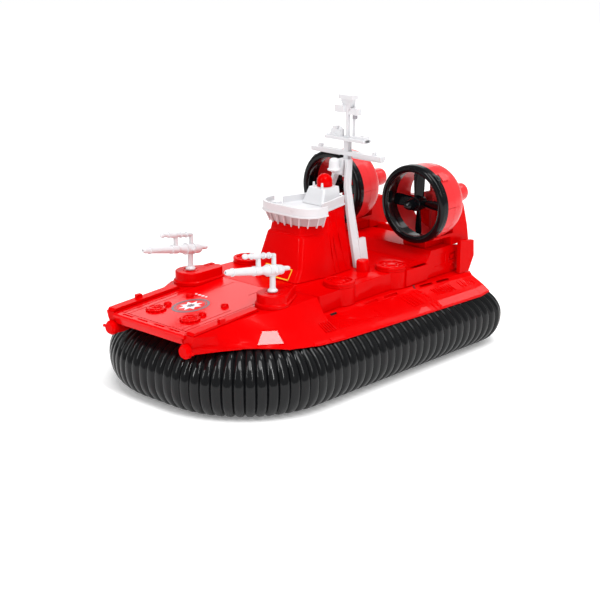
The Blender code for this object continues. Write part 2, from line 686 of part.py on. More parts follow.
def make_mast():
    """White pole with its cup top, a thin second upright, two radar boxes and the lantern's arm."""
    low = box((MAST_X - MAST_DEPTH, MAST_X + MAST_DEPTH), (-MAST_HALF, MAST_HALF), (MAST_FOOT, MAST_NECK))
    mast = place("mast_pole", low, WHITE)
    high = box((MAST_X - 1.7, MAST_X + 1.7), (-1.5, 1.5), (MAST_NECK - 2.0, MAST_TOP - 5.0))
    second = box((MAST_X - 4.8, MAST_X - 2.6), (3.4, 5.6), (MAST_NECK, MAST_TOP - 2.0))
    cup = loft([both_sides([(MAST_X + 1.8, 2.0, 232.0), (MAST_X - 1.8, 2.0, 232.0)]),
                both_sides([(MAST_X + 3.0, 6.4, 242.0), (MAST_X - 3.0, 6.4, 242.0)]),
                both_sides([(MAST_X + 3.0, 6.4, 245.0), (MAST_X - 3.0, 6.4, 245.0)])])
    cap = box((MAST_X - 4.6, MAST_X + 4.0), (-9.0, 9.0), (244.0, MAST_TOP))
    radar_port = box((MAST_X - 5.5, MAST_X + 1.0), (1.0, 12.5), (229.0, 235.5))
    radar_starboard = box((MAST_X + 0.5, MAST_X + 6.0), (-12.0, -1.0), (231.0, 238.0))
    bracket = [(MAST_X, MAST_FOOT), (LANTERN_X, ARM_TOP - 2.4), (LANTERN_X + 2.5, ARM_TOP),
               (-63.0, ARM_TOP), (-65.0, LEG_TOP), (MAST_X, LEG_TOP)]
    arm = side_plate(bracket, -2.0, 2.0)
    for shape in (high, second, cup, cap, radar_port, radar_starboard, arm):
        fuse(mast, place("tool", shape, WHITE))


def make_crossarm(name, z, half_length, thickness, depth, extras):
    """Cross piece that slips over the pole, with its small fittings."""
    beam = box((MAST_X - depth, MAST_X + depth), (-half_length, half_length), (z, z + thickness))
    arm = place(name, beam, WHITE)
    for x_range, y_range, z_range in extras:
        for side in (1.0, -1.0):
            ends = (side * y_range[0], side * y_range[1])
            fuse(arm, place("tool", box(x_range, ends, z_range), WHITE))
    deep = MAST_DEPTH + FIT
    wide = MAST_HALF + FIT
    hole = box((MAST_X - deep, MAST_X + deep), (-wide, wide), (z - thickness, z + 2.0 * thickness))
    cut(arm, place("hole", hole, WHITE))
    return arm


# Mast leg by height: z, front x, rear x, outer y
LEG_LINE = ((LEG_BOTTOM, -50.0, -60.0, 33.9), (117.0, -52.2, -62.6, 25.6), (140.0, -55.4, -64.6, 18.6),
            (162.0, -60.2, -67.6, 11.6), (LEG_TOP, -68.0, -75.4, 6.3))


def make_leg(name, side):
    """Raking mast leg with a wider foot that is cut off slanting below."""
    sections = []
    for z, front, rear, outer in LEG_LINE:
        inner = outer - LEG_THICKNESS
        sections.append([(rear, side * inner, z), (front, side * inner, z),
                         (front, side * outer, z), (rear, side * outer, z)])
    leg = place(name, loft(sections), WHITE)
    foot = []
    for z, rear, outer in ((LEG_BOTTOM + 1.0, -68.8, 33.9), (LEG_FOOT_TOP, -71.4, 27.2)):
        foot.append([(rear, side * (outer - LEG_THICKNESS), z), (-58.0, side * (outer - LEG_THICKNESS), z),
                     (-58.0, side * outer, z), (rear, side * outer, z)])
    fuse(leg, place("foot", loft(foot), WHITE))
    slant = side_plate([(-52.0, LEG_BOTTOM - 4.0), (-52.0, LEG_BOTTOM), (-74.0, LEG_BOTTOM + 6.6),
                        (-74.0, LEG_BOTTOM - 4.0)], side * 20.0, side * 44.0)
    return cut(leg, place("slant", slant, WHITE))


def make_engine_deck():
    """Red block across the stern that carries the fans."""
    fore = HOUSE_AFT - FIT
    aft = HULL_STERN + 1.0
    profile = [(fore, HULL_TOP + FIT), (aft, HULL_TOP + FIT), (aft, 95.0), (-152.0, ENGINE_TOP),
               (-118.0, ENGINE_TOP), (-112.0, DECK_LEVEL + 2.0), (fore, DECK_LEVEL)]
    place("engine_deck", side_plate(profile, -ENGINE_HALF, ENGINE_HALF), RED)


def make_pylon(name, side):
    """Wedge under a duct, overhanging the deck outboard, with the upright fin behind the duct."""
    upper = [(-120.0, 108.0), (-147.0, 107.0), (-148.0, ENGINE_TOP + FIT), (-176.6, ENGINE_TOP + FIT),
             (-173.8, 113.8), (-169.4, 128.0), (-149.0, 128.0), (-120.0, 112.0)]
    pylon = place(name, side_plate(upper, side * 32.0, side * 73.0), RED)
    base = box((-150.0, -121.0), (side * 34.0, side * 62.0), (ENGINE_TOP + FIT, 112.0))
    fuse(pylon, place("base", base, RED))
    reach = DUCT_RADIUS + FIT
    ahead = (RING_BACK + 20.0, side * FAN_Y, FAN_Z)
    room = turned([(-20.0, reach), (100.0, reach)], ahead, (-1.0, 0.0, 0.0), 40)
    cut(pylon, place("room", room, RED))
    block = side_plate([(-150.4, 99.0), (-176.4, 99.0), (-173.8, 113.8), (-169.1, 129.0), (-150.4, 129.0)],
                       side * 32.0, side * 73.0)
    fin = side_plate([(-150.4, 128.0), (-169.4, 128.0), (-166.0, 138.0), (-150.4, 138.0)],
                     side * 66.0, side * 73.0)
    return fuse(pylon, place("block", block, RED), place("fin", fin, RED))


def make_duct(name, side):
    """Duct with four struts, the motor boss and the propeller's shaft."""
    front = RING_BACK - FIT
    centre = (0.0, side * FAN_Y, FAN_Z)
    aft = (-1.0, 0.0, 0.0)
    outline = [(-front, DUCT_RADIUS), (-DUCT_BACK - 6.0, DUCT_RADIUS - 1.6), (-DUCT_BACK, DUCT_RADIUS - 4.4),
               (-DUCT_BACK, DUCT_RADIUS - 7.0), (-front, DUCT_RADIUS - 2.8)]
    duct = place(name, hoop(outline, centre, aft, 40), RED)
    profile = [(-BOSS_FRONT, BOSS_RADIUS - 1.0), (-BOSS_FRONT + 1.0, BOSS_RADIUS),
               (-BOSS_BACK - 1.0, BOSS_RADIUS), (-BOSS_BACK, BOSS_RADIUS - 1.0)]
    boss = place("boss", turned(profile, centre, aft, 24), RED)
    shaft = turned([(-HUB_BACK - 6.0, SHAFT_RADIUS), (-BOSS_FRONT + 2.0, SHAFT_RADIUS)], centre, aft, 12)
    fuse(boss, place("shaft", shaft, RED))
    reach = DUCT_RADIUS - 5.0
    for wide, tall in ((reach, 1.5), (1.5, reach)):
        strut = box((DUCT_BACK + 1.0, DUCT_BACK + 8.0), (side * FAN_Y - wide, side * FAN_Y + wide),
                    (FAN_Z - tall, FAN_Z + tall))
        fuse(boss, place("strut", strut, RED))
    fuse(duct, boss)
    clip = box((-128.0, -119.5), (side * FAN_Y - 4.5, side * FAN_Y + 4.5),
               (FAN_Z + DUCT_RADIUS - 1.0, FAN_Z + DUCT_RADIUS + 2.0))
    clip = place("clip", clip, RED)
    turn = Matrix.Translation(Vector(centre) * MM) @ Matrix.Rotation(side * CLIP_ANGLE, 4, "X")
    clip.data.transform(turn @ Matrix.Translation(-Vector(centre) * MM))
    fuse(duct, clip)


def make_ring(name, side):
    """Black clip-on ring in front of a duct, with a thick rounded lip."""
    front = -RING_FRONT
    outline = [(front, RING_RADIUS - 4.6), (front + 0.7, RING_LIP + 0.9), (front + 2.4, RING_LIP),
               (front + 4.2, RING_BORE), (-RING_BACK, RING_BORE), (-RING_BACK, RING_RADIUS),
               (front + 2.2, RING_RADIUS), (front + 0.6, RING_RADIUS - 0.9), (front, RING_RADIUS - 2.4)]
    place(name, hoop(outline, (0.0, side * FAN_Y, FAN_Z), (-1.0, 0.0, 0.0), 44), BLACK)


def blade_sections(angle, centre):
    """Return the twisted sections of one broad propeller blade from root to tip."""
    sections = []
    for share, chord, pitch, thick in ((0.0, 7.0, 50.0, 2.2), (0.5, 11.0, 38.0, 1.8), (1.0, 14.0, 30.0, 1.3)):
        radius = BLADE_ROOT + share * (BLADE_RADIUS - BLADE_ROOT)
        lean = math.radians(pitch)
        along = Vector((math.sin(lean), -math.cos(lean), 0.0))
        through = Vector((math.cos(lean), math.sin(lean), 0.0))
        section = []
        for a, b in ((-1.0, -1.0), (1.0, -1.0), (1.0, 1.0), (-1.0, 1.0)):
            point = along * (a * chord / 2.0) + through * (b * thick / 2.0) + Vector((0.0, 0.0, radius))
            point.rotate(Matrix.Rotation(angle, 3, "X"))
            section.append(point + centre)
        sections.append(section)
    return sections


def make_propeller(name, side):
    """Black four-bladed propeller with hub and pointed spinner, turning on the shaft."""
    axis = Vector((0.0, side * FAN_Y, FAN_Z))
    profile = [(-SPINNER_TIP, 0.0), (-SPINNER_TIP + 3.0, 2.6), (-SPINNER_TIP + 8.0, 5.0),
               (-HUB_FRONT, HUB_RADIUS - 1.0), (-HUB_FRONT + 0.5, HUB_RADIUS), (-HUB_BACK, HUB_RADIUS)]
    centre = ((HUB_FRONT + HUB_BACK) / 2.0, axis.y, axis.z)
    hub = place(name, turned(profile, axis, (-1.0, 0.0, 0.0), 20), BLACK, centre)
    middle = Vector((HUB_BACK + BLADE_SETBACK, axis.y, axis.z))
    for k in range(4):
        blade = place("blade", loft(blade_sections(math.tau * k / 4.0, middle)), BLACK)
        fuse(hub, blade)
    bore = turned([(-HUB_BACK - 6.4, SHAFT_RADIUS + FIT), (-HUB_BACK + 1.0, SHAFT_RADIUS + FIT)], axis,
                  (-1.0, 0.0, 0.0), 16)
    cut(hub, place("bore", bore, BLACK))


def make_stern_panel(name, side):
    """Upright panel at the stern quarter."""
    profile = [(-150.0, HULL_TOP + FIT), (-165.0, HULL_TOP + FIT), (-173.0, 85.0), (-172.0, 101.0),
               (-150.0, 104.0)]
    place(name, side_plate(profile, side * 79.0, side * 83.4), RED)


def clear_scene():
    """Remove whatever the scene holds."""
    for item in list(bpy.data.objects):
        bpy.data.objects.remove(item)


clear_scene()
RED = material("gloss_red_plastic", (0.80, 0.004, 0.006), 0.22)
BLACK = material("black_plastic", (0.012, 0.012, 0.013), 0.38)
WHITE = material("white_plastic", (0.86, 0.86, 0.88), 0.35)
make_skirt()
make_tray()
make_hull()
make_foredeck()
make_deck()
make_tower()
make_visor()
make_bridge()
make_cabin()
make_beacon()
make_lantern()
make_mast()
make_crossarm("mast_platform", PLATFORM_Z, 25.0, 3.0, 6.0, (((-77.0, -71.0), (12.0, 20.0), (204.0, 210.0)),))
make_crossarm("mast_yard", YARD_Z, 44.7, 4.0, 3.8, (((-75.0, -72.0), (33.0, 36.0), (190.0, 197.0)),))
make_engine_deck()
for tail, side in (("port", 1.0), ("starboard", -1.0)):
    make_gunwale("gunwale_" + tail, side)
    make_knuckle("bow_knuckle_" + tail, side)
    make_mount("cannon_mount_" + tail, side)
    make_cannon("cannon_" + tail, side)
    make_house("side_house_" + tail, side)
    make_drum("lift_cover_fore_" + tail, DRUM_X[0], side)
    make_drum("lift_cover_aft_" + tail, DRUM_X[1], side)
    make_leg("mast_leg_" + tail, side)
    make_pylon("pylon_" + tail, side)
    make_duct("duct_" + tail, side)
    make_ring("fan_ring_" + tail, side)
    make_propeller("propeller_" + tail, side)
    make_stern_panel("stern_panel_" + tail, side)
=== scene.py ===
"""Looks of the toy hovercraft: moulded plastic skins, fine skirt ribs, deck details, lights and camera.

Sizes are in millimetres, and MM turns them into metres. +X is the bow, +Y is port and +Z is up.
"""

import math

import bmesh
import bpy
from mathutils import Matrix, Vector


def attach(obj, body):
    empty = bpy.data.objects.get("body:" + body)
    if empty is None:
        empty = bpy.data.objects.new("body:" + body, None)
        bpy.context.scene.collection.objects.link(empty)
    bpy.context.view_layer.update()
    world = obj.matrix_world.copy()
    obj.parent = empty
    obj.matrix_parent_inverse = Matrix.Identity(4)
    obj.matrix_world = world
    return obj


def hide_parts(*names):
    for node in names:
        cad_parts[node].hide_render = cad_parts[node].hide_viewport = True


MM = 0.001
UP = (0.0, 0.0, 1.0)
OFF_AXIS = Vector((0.31, 0.95, 0.05))  # any direction that no tube of this craft follows
BOTH = (("port", 1.0), ("starboard", -1.0))
CRAFT = "craft"
DRESSED_CREASE = 30.0  # degrees, for copies of CAD nodes

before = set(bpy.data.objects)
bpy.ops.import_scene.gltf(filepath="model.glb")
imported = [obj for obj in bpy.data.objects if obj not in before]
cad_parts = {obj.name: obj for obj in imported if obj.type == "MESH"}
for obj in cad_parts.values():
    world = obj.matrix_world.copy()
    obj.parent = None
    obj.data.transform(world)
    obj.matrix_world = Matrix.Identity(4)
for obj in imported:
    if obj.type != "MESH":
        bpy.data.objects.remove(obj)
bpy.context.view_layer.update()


# Node trees, for skins and for shapes

def add_sockets(tree, way, sockets):
    """Give a tree its named inputs or outputs."""
    for label, kind in sockets:
        tree.interface.new_socket(label, in_out=way, socket_type="NodeSocket" + kind)


def feed(tree, made, links):
    """Feed a node's inputs from sockets or values."""
    for key, source in links:
        if isinstance(source, bpy.types.NodeSocket):
            tree.links.new(source, made.inputs[key])
        else:
            made.inputs[key].default_value = source


def node(tree, kind, links=(), **settings):
    """Add a node, set its properties and feed its inputs."""
    made = tree.nodes.new(kind)
    for key, value in settings.items():
        setattr(made, key, value)
    feed(tree, made, links)
    return made


def reckoned(tree, operation, *sources):
    """Add a maths node fed from sockets or values, and return what it gives."""
    return node(tree, "ShaderNodeMath", enumerate(sources), operation=operation).outputs[0]


# Skins

WAVES_PER_M = 42.0  # scale of the mottling
GRAIN_PER_M = 1400.0
BUMP_DEPTH = 0.001


def skin_group():
    """Return the shader group of a moulded skin: a little mottling, grain and unevenness."""
    group = bpy.data.node_groups.new("moulded_skin", "ShaderNodeTree")
    add_sockets(group, "INPUT", (("Colour", "Color"), ("Shade", "Float"), ("Roughness", "Float"),
                                 ("Unevenness", "Float"), ("Grain", "Float")))
    add_sockets(group, "OUTPUT", (("Colour", "Color"), ("Roughness", "Float"), ("Height", "Float")))
    given = group.nodes.new("NodeGroupInput").outputs
    place = node(group, "ShaderNodeTexCoord").outputs["Object"]
    noises = []
    for scale, detail in ((WAVES_PER_M, 3.0), (GRAIN_PER_M, 2.0)):
        links = [("Vector", place), ("Scale", scale), ("Detail", detail)]
        noises.append(node(group, "ShaderNodeTexNoise", links).outputs["Fac"])
    waves, grain = noises
    shade = [(0, given["Colour"]), ("Scale", given["Shade"])]
    darker = node(group, "ShaderNodeVectorMath", shade, operation="SCALE").outputs["Vector"]
    mix = [("Factor", waves), ("A", darker), ("B", given["Colour"])]
    colour = node(group, "ShaderNodeMix", mix, data_type="RGBA").outputs["Result"]
    centred = reckoned(group, "SUBTRACT", waves, 0.5)
    rough = reckoned(group, "MULTIPLY_ADD", centred, given["Unevenness"], given["Roughness"])
    height = reckoned(group, "MULTIPLY_ADD", grain, given["Grain"], waves)
    node(group, "NodeGroupOutput", [("Colour", colour), ("Roughness", rough), ("Height", height)])
    return group


SKIN = skin_group()


def moulded(name, colour, roughness, shade=0.9, unevenness=0.12, grain=0.1, bump=0.05, coat=0.0, glow=0.0,
            gloss=0.5):
    """Return a moulded plastic that uses the skin group."""
    finish = bpy.data.materials.new(name)
    finish.use_nodes = True
    tree = finish.node_tree
    values = [("Colour", (*colour, 1.0)), ("Shade", shade), ("Roughness", roughness),
              ("Unevenness", unevenness), ("Grain", grain)]
    skin = node(tree, "ShaderNodeGroup", values, node_tree=SKIN).outputs
    bumps = [("Strength", bump), ("Distance", BUMP_DEPTH), ("Height", skin["Height"])]
    feed(tree, tree.nodes["Principled BSDF"], [
        ("Base Color", skin["Colour"]), ("Roughness", skin["Roughness"]),
        ("Normal", node(tree, "ShaderNodeBump", bumps).outputs["Normal"]), ("Specular IOR Level", gloss),
        ("Coat Weight", coat), ("Coat Roughness", 0.06), ("Subsurface Weight", glow),
        ("Subsurface Radius", (0.004, 0.003, 0.003)), ("Subsurface Scale", 0.4)])
    finish.diffuse_color = (*colour, 1.0)
    return finish


RED = moulded("glossy_red_plastic", (0.70, 0.0, 0.0005), 0.24, bump=0.04, coat=0.05, gloss=0.02)
DECK_RED = moulded("satin_red_plastic", (0.76, 0.0, 0.001), 0.22, bump=0.04, coat=0.18, gloss=0.06)
# Dark red for painted shade at the bottoms of the foredeck's grooves
GROOVE_SHADE_RED = moulded("groove_painted_shade", (0.24, 0.0, 0.001), 0.4)
# The ducts' red has pink in it: a painted reflection of the white surround
DUCT_SHEEN_RED = moulded("red_plastic_painted_sheen", (0.78, 0.035, 0.04), 0.24, bump=0.04, coat=0.25, gloss=0.08)
POLISHED_RED = moulded("polished_red_plastic", (0.80, 0.0, 0.001), 0.14, coat=0.5, bump=0.01, gloss=0.3)
SKIRT_BLACK = moulded("black_skirt_plastic", (0.004, 0.0043, 0.005), 0.3, shade=0.75, unevenness=0.1,
                      grain=0.3, bump=0.08, coat=0.42, gloss=0.05)
RING_BLACK = moulded("glossy_black_plastic", (0.003, 0.0035, 0.0045), 0.16, coat=0.22, bump=0.03, gloss=0.1)
WHITE = moulded("white_plastic", (0.70, 0.70, 0.72), 0.3, shade=0.97, glow=0.1)
# Darkened white for the window panes: painted shade
PANE_SHADE_WHITE = moulded("window_pane_painted_shade", (0.52, 0.49, 0.50), 0.35)
# Grey for the small mast box: painted shade on white plastic
MAST_BOX_SHADE_GREY = moulded("mast_box_painted_shade", (0.38, 0.36, 0.40), 0.4)
# Near black for painted shade in the hull's slot and screw hole
HOLE_SHADE_BLACK = moulded("painted_hole_shade", (0.004, 0.002, 0.002), 0.7)
YELLOW = moulded("yellow_print", (0.95, 0.62, 0.03), 0.35)
BADGE_GREY = moulded("grey_print", (0.16, 0.13, 0.15), 0.4)
BADGE_WHITE = moulded("white_print", (0.85, 0.86, 0.90), 0.4)


# Shapes, all in millimetres until they are finished

def between(rows, place):
    """Return a table's row at a place along its first column, worked out from the rows about it."""
    for low, high in zip(rows, rows[1:]):
        if place <= high[0]:
            break
    way = (place - low[0]) / (high[0] - low[0])
    return [a + (b - a) * way for a, b in zip(low, high)]


def loft(sections, closed=False):
    """Skin sections that have the same number of points, with flat ends unless closed."""
    shape = bmesh.new()
    rows = [[shape.verts.new(point) for point in section] for section in sections]
    count = len(rows[0])
    pairs = list(zip(rows, rows[1:]))
    if closed:
        pairs.append((rows[-1], rows[0]))
    for first, second in pairs:
        for i in range(count):
            j = (i + 1) % count
            shape.faces.new((first[i], first[j], second[j], second[i]))
    if not closed:
        shape.faces.new(rows[0])
        shape.faces.new(rows[-1])
    return shape


def slab(x_range, y_range, z_range):
    """Return a block between the given limits."""
    x0, x1 = x_range
    y0, y1 = y_range
    plan = ((x0, y0), (x1, y0), (x1, y1), (x0, y1))
    return loft([[(x, y, z) for x, y in plan] for z in z_range])


def side_plate(profile, y_start, y_end):
    """Extrude a side profile of (x, z) points across the beam."""
    return loft([[(x, y, z) for x, z in profile] for y in (y_start, y_end)])


def spokes_of(axis):
    """Return a direction and two directions across it."""
    direction = Vector(axis).normalized()
    across = direction.orthogonal().normalized()
    return direction, across, direction.cross(across)


def circle(middle, across, over, radius, sides):
    """Return points round a middle."""
    turns = [math.tau * i / sides for i in range(sides)]
    return [middle + (across * math.cos(turn) + over * math.sin(turn)) * radius for turn in turns]


def turned(profile, centre, axis=UP, sides=40):
    """Turn (distance along the axis, radius) pairs into a solid. A radius of zero is a point."""
    direction, across, over = spokes_of(axis)
    base = Vector(centre)
    shape = bmesh.new()
    rows = []
    for along, radius in profile:
        middle = base + direction * along
        if radius == 0.0:
            rows.append([shape.verts.new(middle)])
            continue
        rows.append([shape.verts.new(point) for point in circle(middle, across, over, radius, sides)])
    for first, second in zip(rows, rows[1:]):
        for i in range(sides):
            j = (i + 1) % sides
            corners = [ring[k % len(ring)] for ring, k in ((first, i), (first, j), (second, j), (second, i))]
            shape.faces.new(list(dict.fromkeys(corners)))
    for row in (rows[0], rows[-1]):
        if len(row) > 1:
            shape.faces.new(row)
    return shape


def hoop(profile, centre, axis, sides=72):
    """Turn a closed (distance along the axis, radius) outline into a ring."""
    direction, across, over = spokes_of(axis)
    base = Vector(centre)
    sections = []
    for i in range(sides):
        turn = math.tau * i / sides
        spoke = across * math.cos(turn) + over * math.sin(turn)
        sections.append([base + direction * along + spoke * radius for along, radius in profile])
    return loft(sections, closed=True)


def tube(points, radius, sides=12):
    """Sweep a round section along points, with flat ends."""
    path = [Vector(point) for point in points]
    sections = []
    for i, middle in enumerate(path):
        before = path[max(i - 1, 0)]
        after = path[min(i + 1, len(path) - 1)]
        direction = (after - before).normalized()
        across = direction.cross(OFF_AXIS).normalized()
        sections.append(circle(middle, across, direction.cross(across), radius, sides))
    return loft(sections)


def together(*shapes):
    """Put several closed shapes into one."""
    whole = bmesh.new()
    for shape in shapes:
        bmesh.ops.recalc_face_normals(shape, faces=shape.faces)
        holder = mesh_of("holder", shape)
        whole.from_mesh(holder)
        bpy.data.meshes.remove(holder)
    return whole


def shifted(shape, pivot, turn_deg, axis):
    """Turn a shape about an axis through a pivot."""
    turn = Matrix.Rotation(math.radians(turn_deg), 3, axis)
    bmesh.ops.rotate(shape, verts=shape.verts, cent=Vector(pivot), matrix=turn)
    return shape


def placed(name, data):
    """Return a new object of the scene that holds some data."""
    item = bpy.data.objects.new(name, data)
    bpy.context.scene.collection.objects.link(item)
    return item


def mesh_of(name, shape):
    """Return a mesh made from a shape, which is used up."""
    mesh = bpy.data.meshes.new(name)
    shape.to_mesh(mesh)
    shape.free()
    return mesh


def evaluated(item):
    """Return the mesh that an object's modifiers make."""
    bpy.context.view_layer.update()
    graph = bpy.context.evaluated_depsgraph_get()
    changed = item.evaluated_get(graph)
    return bpy.data.meshes.new_from_object(changed, preserve_all_data_layers=True, depsgraph=graph)


def finish_piece(name, shape, finish, body=CRAFT, stands_for=(), **edges):
    """Make a riding piece from a shape whose faces may still point inwards."""
    bmesh.ops.recalc_face_normals(shape, faces=shape.faces)
    place_piece(name, shape, finish, body, stands_for, **edges)


def stand_in(node_name, shape, finish, body=CRAFT, **edges):
    """Make a riding piece that stands in for a CAD node."""
    finish_piece(node_name + "_skin", shape, finish, body, (node_name,), **edges)


def place_piece(name, shape, finish, body, stands_for, **edges):
    """Make a riding piece from a shape whose faces already point outwards."""
    bmesh.ops.scale(shape, verts=shape.verts, vec=(MM, MM, MM))
    mesh_piece(name, mesh_of(name, shape), finish, body, stands_for, **edges)


def mesh_piece(name, mesh, finish, body=CRAFT, stands_for=(), round_edges=0.0, segments=2, crease=38.0):
    """Make a riding piece from a mesh in metres, with edges sharper than the crease angle rounded."""
    mesh.materials.clear()
    mesh.materials.append(finish)
    mesh.shade_smooth()
    mesh.set_sharp_from_angle(angle=math.radians(crease))
    item = placed(name, mesh)
    if round_edges:
        bevel = item.modifiers.new("rounding", "BEVEL")
        bevel.width = round_edges * MM
        bevel.segments = segments
        bevel.limit_method = "ANGLE"
        bevel.angle_limit = math.radians(crease)
        bevel.harden_normals = True
        smooth = evaluated(item)
        item.modifiers.remove(bevel)
        item.data = smooth
    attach(item, body)
    if stands_for:
        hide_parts(*stands_for)


def copy_of(node_name):
    """Return a merged copy of a CAD node in millimetres."""
    shape = bmesh.new()
    shape.from_mesh(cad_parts[node_name].data)
    bmesh.ops.remove_doubles(shape, verts=shape.verts, dist=0.000004)
    bmesh.ops.dissolve_limit(shape, angle_limit=math.radians(0.6), verts=shape.verts, edges=shape.edges)
    bmesh.ops.scale(shape, verts=shape.verts, vec=(1.0 / MM,) * 3)
    return shape


def dress(node_name, finish, width=0.35, segments=2, cutters=(), shape=None):
    """Stand a copy, or a shape made from one, in for a CAD node, after cutting and with rounded edges."""
    shape = shape or copy_of(node_name)
    if cutters:
        shape = carved(shape, cutters)
    place_piece(node_name + "_skin", shape, finish, CRAFT, (node_name,), round_edges=width, segments=segments,
                crease=DRESSED_CREASE)


def loose_object(name, shape):
    """Put a shape into a temporary object, in millimetres."""
    bmesh.ops.recalc_face_normals(shape, faces=shape.faces)
    return placed(name, mesh_of(name, shape))


def carved(shape, cutters):
    """Return a shape with the cutters taken out of it, one after another."""
    item = loose_object("blank", shape)
    for cutter in cutters:
        tool = loose_object("cutter", cutter)
        change = item.modifiers.new("carve", "BOOLEAN")
        change.operation = "DIFFERENCE"
        change.solver = "EXACT"
        change.object = tool
        item.data = evaluated(item)
        item.modifiers.clear()
        bpy.data.objects.remove(tool)
    result = bmesh.new()
    result.from_mesh(item.data)
    bpy.data.objects.remove(item)
    bmesh.ops.dissolve_limit(result, angle_limit=math.radians(0.3), verts=result.verts, edges=result.edges)
    return result


# Geometry Nodes

def new_tree(name, inputs, takes_mesh=False):
    """Return an empty tree that takes a material too, what its inputs give, and its output node."""
    tree = bpy.data.node_groups.new(name, "GeometryNodeTree")
    add_sockets(tree, "OUTPUT", [("Geometry", "Geometry")])
    add_sockets(tree, "INPUT", [("Geometry", "Geometry")] * takes_mesh)
    add_sockets(tree, "INPUT", (*inputs, ("Material", "Material")))
    return tree, tree.nodes.new("NodeGroupInput").outputs, tree.nodes.new("NodeGroupOutput")


def grown(tree, finish, values, base=None):
    """Run a tree with its material and values set by their identifiers, and return the plain mesh."""
    item = placed("growing", base or bpy.data.meshes.new("seed"))
    change = item.modifiers.new("growth", "NODES")
    change.node_group = tree
    values["Material"] = finish
    for socket in tree.interface.items_tree:
        if socket.in_out == "INPUT" and socket.name in values:
            change[socket.identifier] = values[socket.name]
    mesh = evaluated(item)
    item.modifiers.remove(change)
    bpy.data.objects.remove(item)
    return mesh


def painted(tree, geometry, given, result):
    """Give the geometry the tree's material and send it out of the tree."""
    finish = node(tree, "GeometryNodeSetMaterial", [("Geometry", geometry), ("Material", given["Material"])])
    tree.links.new(finish.outputs[0], result.inputs[0])


def rib_tree():
    """Tree that presses round ribs into a smooth ring, from each point's place along it."""
    inputs = (("Groove Depth", "Float"), ("Crest Fullness", "Float"))
    tree, given, result = new_tree("skirt_ribs", inputs, True)
    along = node(tree, "GeometryNodeInputNamedAttribute", [("Name", "rib_phase")], data_type="FLOAT")
    share = reckoned(tree, "FRACT", along.outputs["Attribute"])
    doubled = reckoned(tree, "MULTIPLY_ADD", share, 2.0, -1.0)
    away = reckoned(tree, "ABSOLUTE", doubled)
    curve = reckoned(tree, "POWER", away, given["Crest Fullness"])
    depth = reckoned(tree, "MULTIPLY", curve, given["Groove Depth"])
    inward = reckoned(tree, "MULTIPLY", depth, -1.0)
    normal = node(tree, "GeometryNodeInputNormal").outputs["Normal"]
    move = node(tree, "ShaderNodeVectorMath", [(0, normal), ("Scale", inward)], operation="SCALE").outputs[0]
    pressed = node(tree, "GeometryNodeSetPosition", [("Geometry", given["Geometry"]), ("Offset", move)])
    painted(tree, pressed.outputs[0], given, result)
    return tree


def blocks_on(tree, points, given, links=()):
    """Stand a block of the given size on each point, and return the geometry."""
    block = node(tree, "GeometryNodeMeshCube", [("Size", given["Size"])]).outputs[0]
    settings = [("Points", points), ("Instance", block), *links]
    copies = node(tree, "GeometryNodeInstanceOnPoints", settings).outputs[0]
    return node(tree, "GeometryNodeRealizeInstances", [(0, copies)]).outputs[0]


def row_tree():
    """Tree that sets a row of equal blocks between two points."""
    inputs = (("Start", "Vector"), ("End", "Vector"), ("Count", "Int"), ("Size", "Vector"))
    tree, given, result = new_tree("row_of_blocks", inputs)
    ends = [("Count", given["Count"]), ("Start Location", given["Start"]), ("Offset", given["End"])]
    line = node(tree, "GeometryNodeMeshLine", ends, mode="END_POINTS").outputs[0]
    painted(tree, blocks_on(tree, line, given), given, result)
    return tree


def rim_tree():
    """Tree that sets blocks round a circle, each pointing outwards."""
    inputs = (("Centre", "Vector"), ("Tilt", "Vector"), ("Radius", "Float"), ("Count", "Int"),
              ("Size", "Vector"))
    tree, given, result = new_tree("blocks_round_a_rim", inputs)
    way = [("Vertices", given["Count"]), ("Radius", given["Radius"])]
    ring = node(tree, "GeometryNodeMeshCircle", way).outputs[0]
    place = node(tree, "GeometryNodeInputPosition").outputs[0]
    face = node(tree, "FunctionNodeAlignRotationToVector", [("Vector", place)], axis="X", pivot_axis="Z")
    blocks = blocks_on(tree, ring, given, [("Rotation", face.outputs[0])])
    tilt = node(tree, "FunctionNodeEulerToRotation", [(0, given["Tilt"])]).outputs[0]
    settings = [("Geometry", blocks), ("Translation", given["Centre"]), ("Rotation", tilt)]
    painted(tree, node(tree, "GeometryNodeTransform", settings).outputs[0], given, result)
    return tree


RIBS = rib_tree()
ROW = row_tree()
RIM = rim_tree()


def metres(point):
    """Return a point or a size in metres."""
    return [value * MM for value in point]


def row(name, start, end, count, size, finish):
    """Set a row of blocks between two points."""
    values = {"Start": metres(start), "End": metres(end), "Count": count, "Size": metres(size)}
    mesh_piece(name, grown(ROW, finish, values), finish, round_edges=0.15, segments=1)


def rim(name, centre, radius, count, size, finish, pitch_deg=0.0):
    """Set blocks round a rim that leans forwards by an angle."""
    values = {"Centre": metres(centre), "Radius": radius * MM, "Count": count, "Size": metres(size),
              "Tilt": (0.0, math.radians(pitch_deg), 0.0)}
    mesh_piece(name, grown(RIM, finish, values), finish, round_edges=0.2, segments=1)


# Skirt

SKIRT_HALF = (185.0, 119.0)
SKIRT_RADII = (100.0, 18.0)  # at the bow and at the stern
SKIRT_INNER_RADIUS = 6.0  # least radius of the inner outline's corners
SKIRT_WIDTH = 56.0
SKIRT_HEIGHT = 60.8
SHOULDER_POWER = 1.8  # the section's roundness above its middle
FOOT_POWER = 2.4  # and below it
RIB_COUNT = 108
RIB_STEPS = 12
SECTION_SIDES = 48
GROOVE_DEPTH = 2.3
CREST_FULLNESS = 3.0


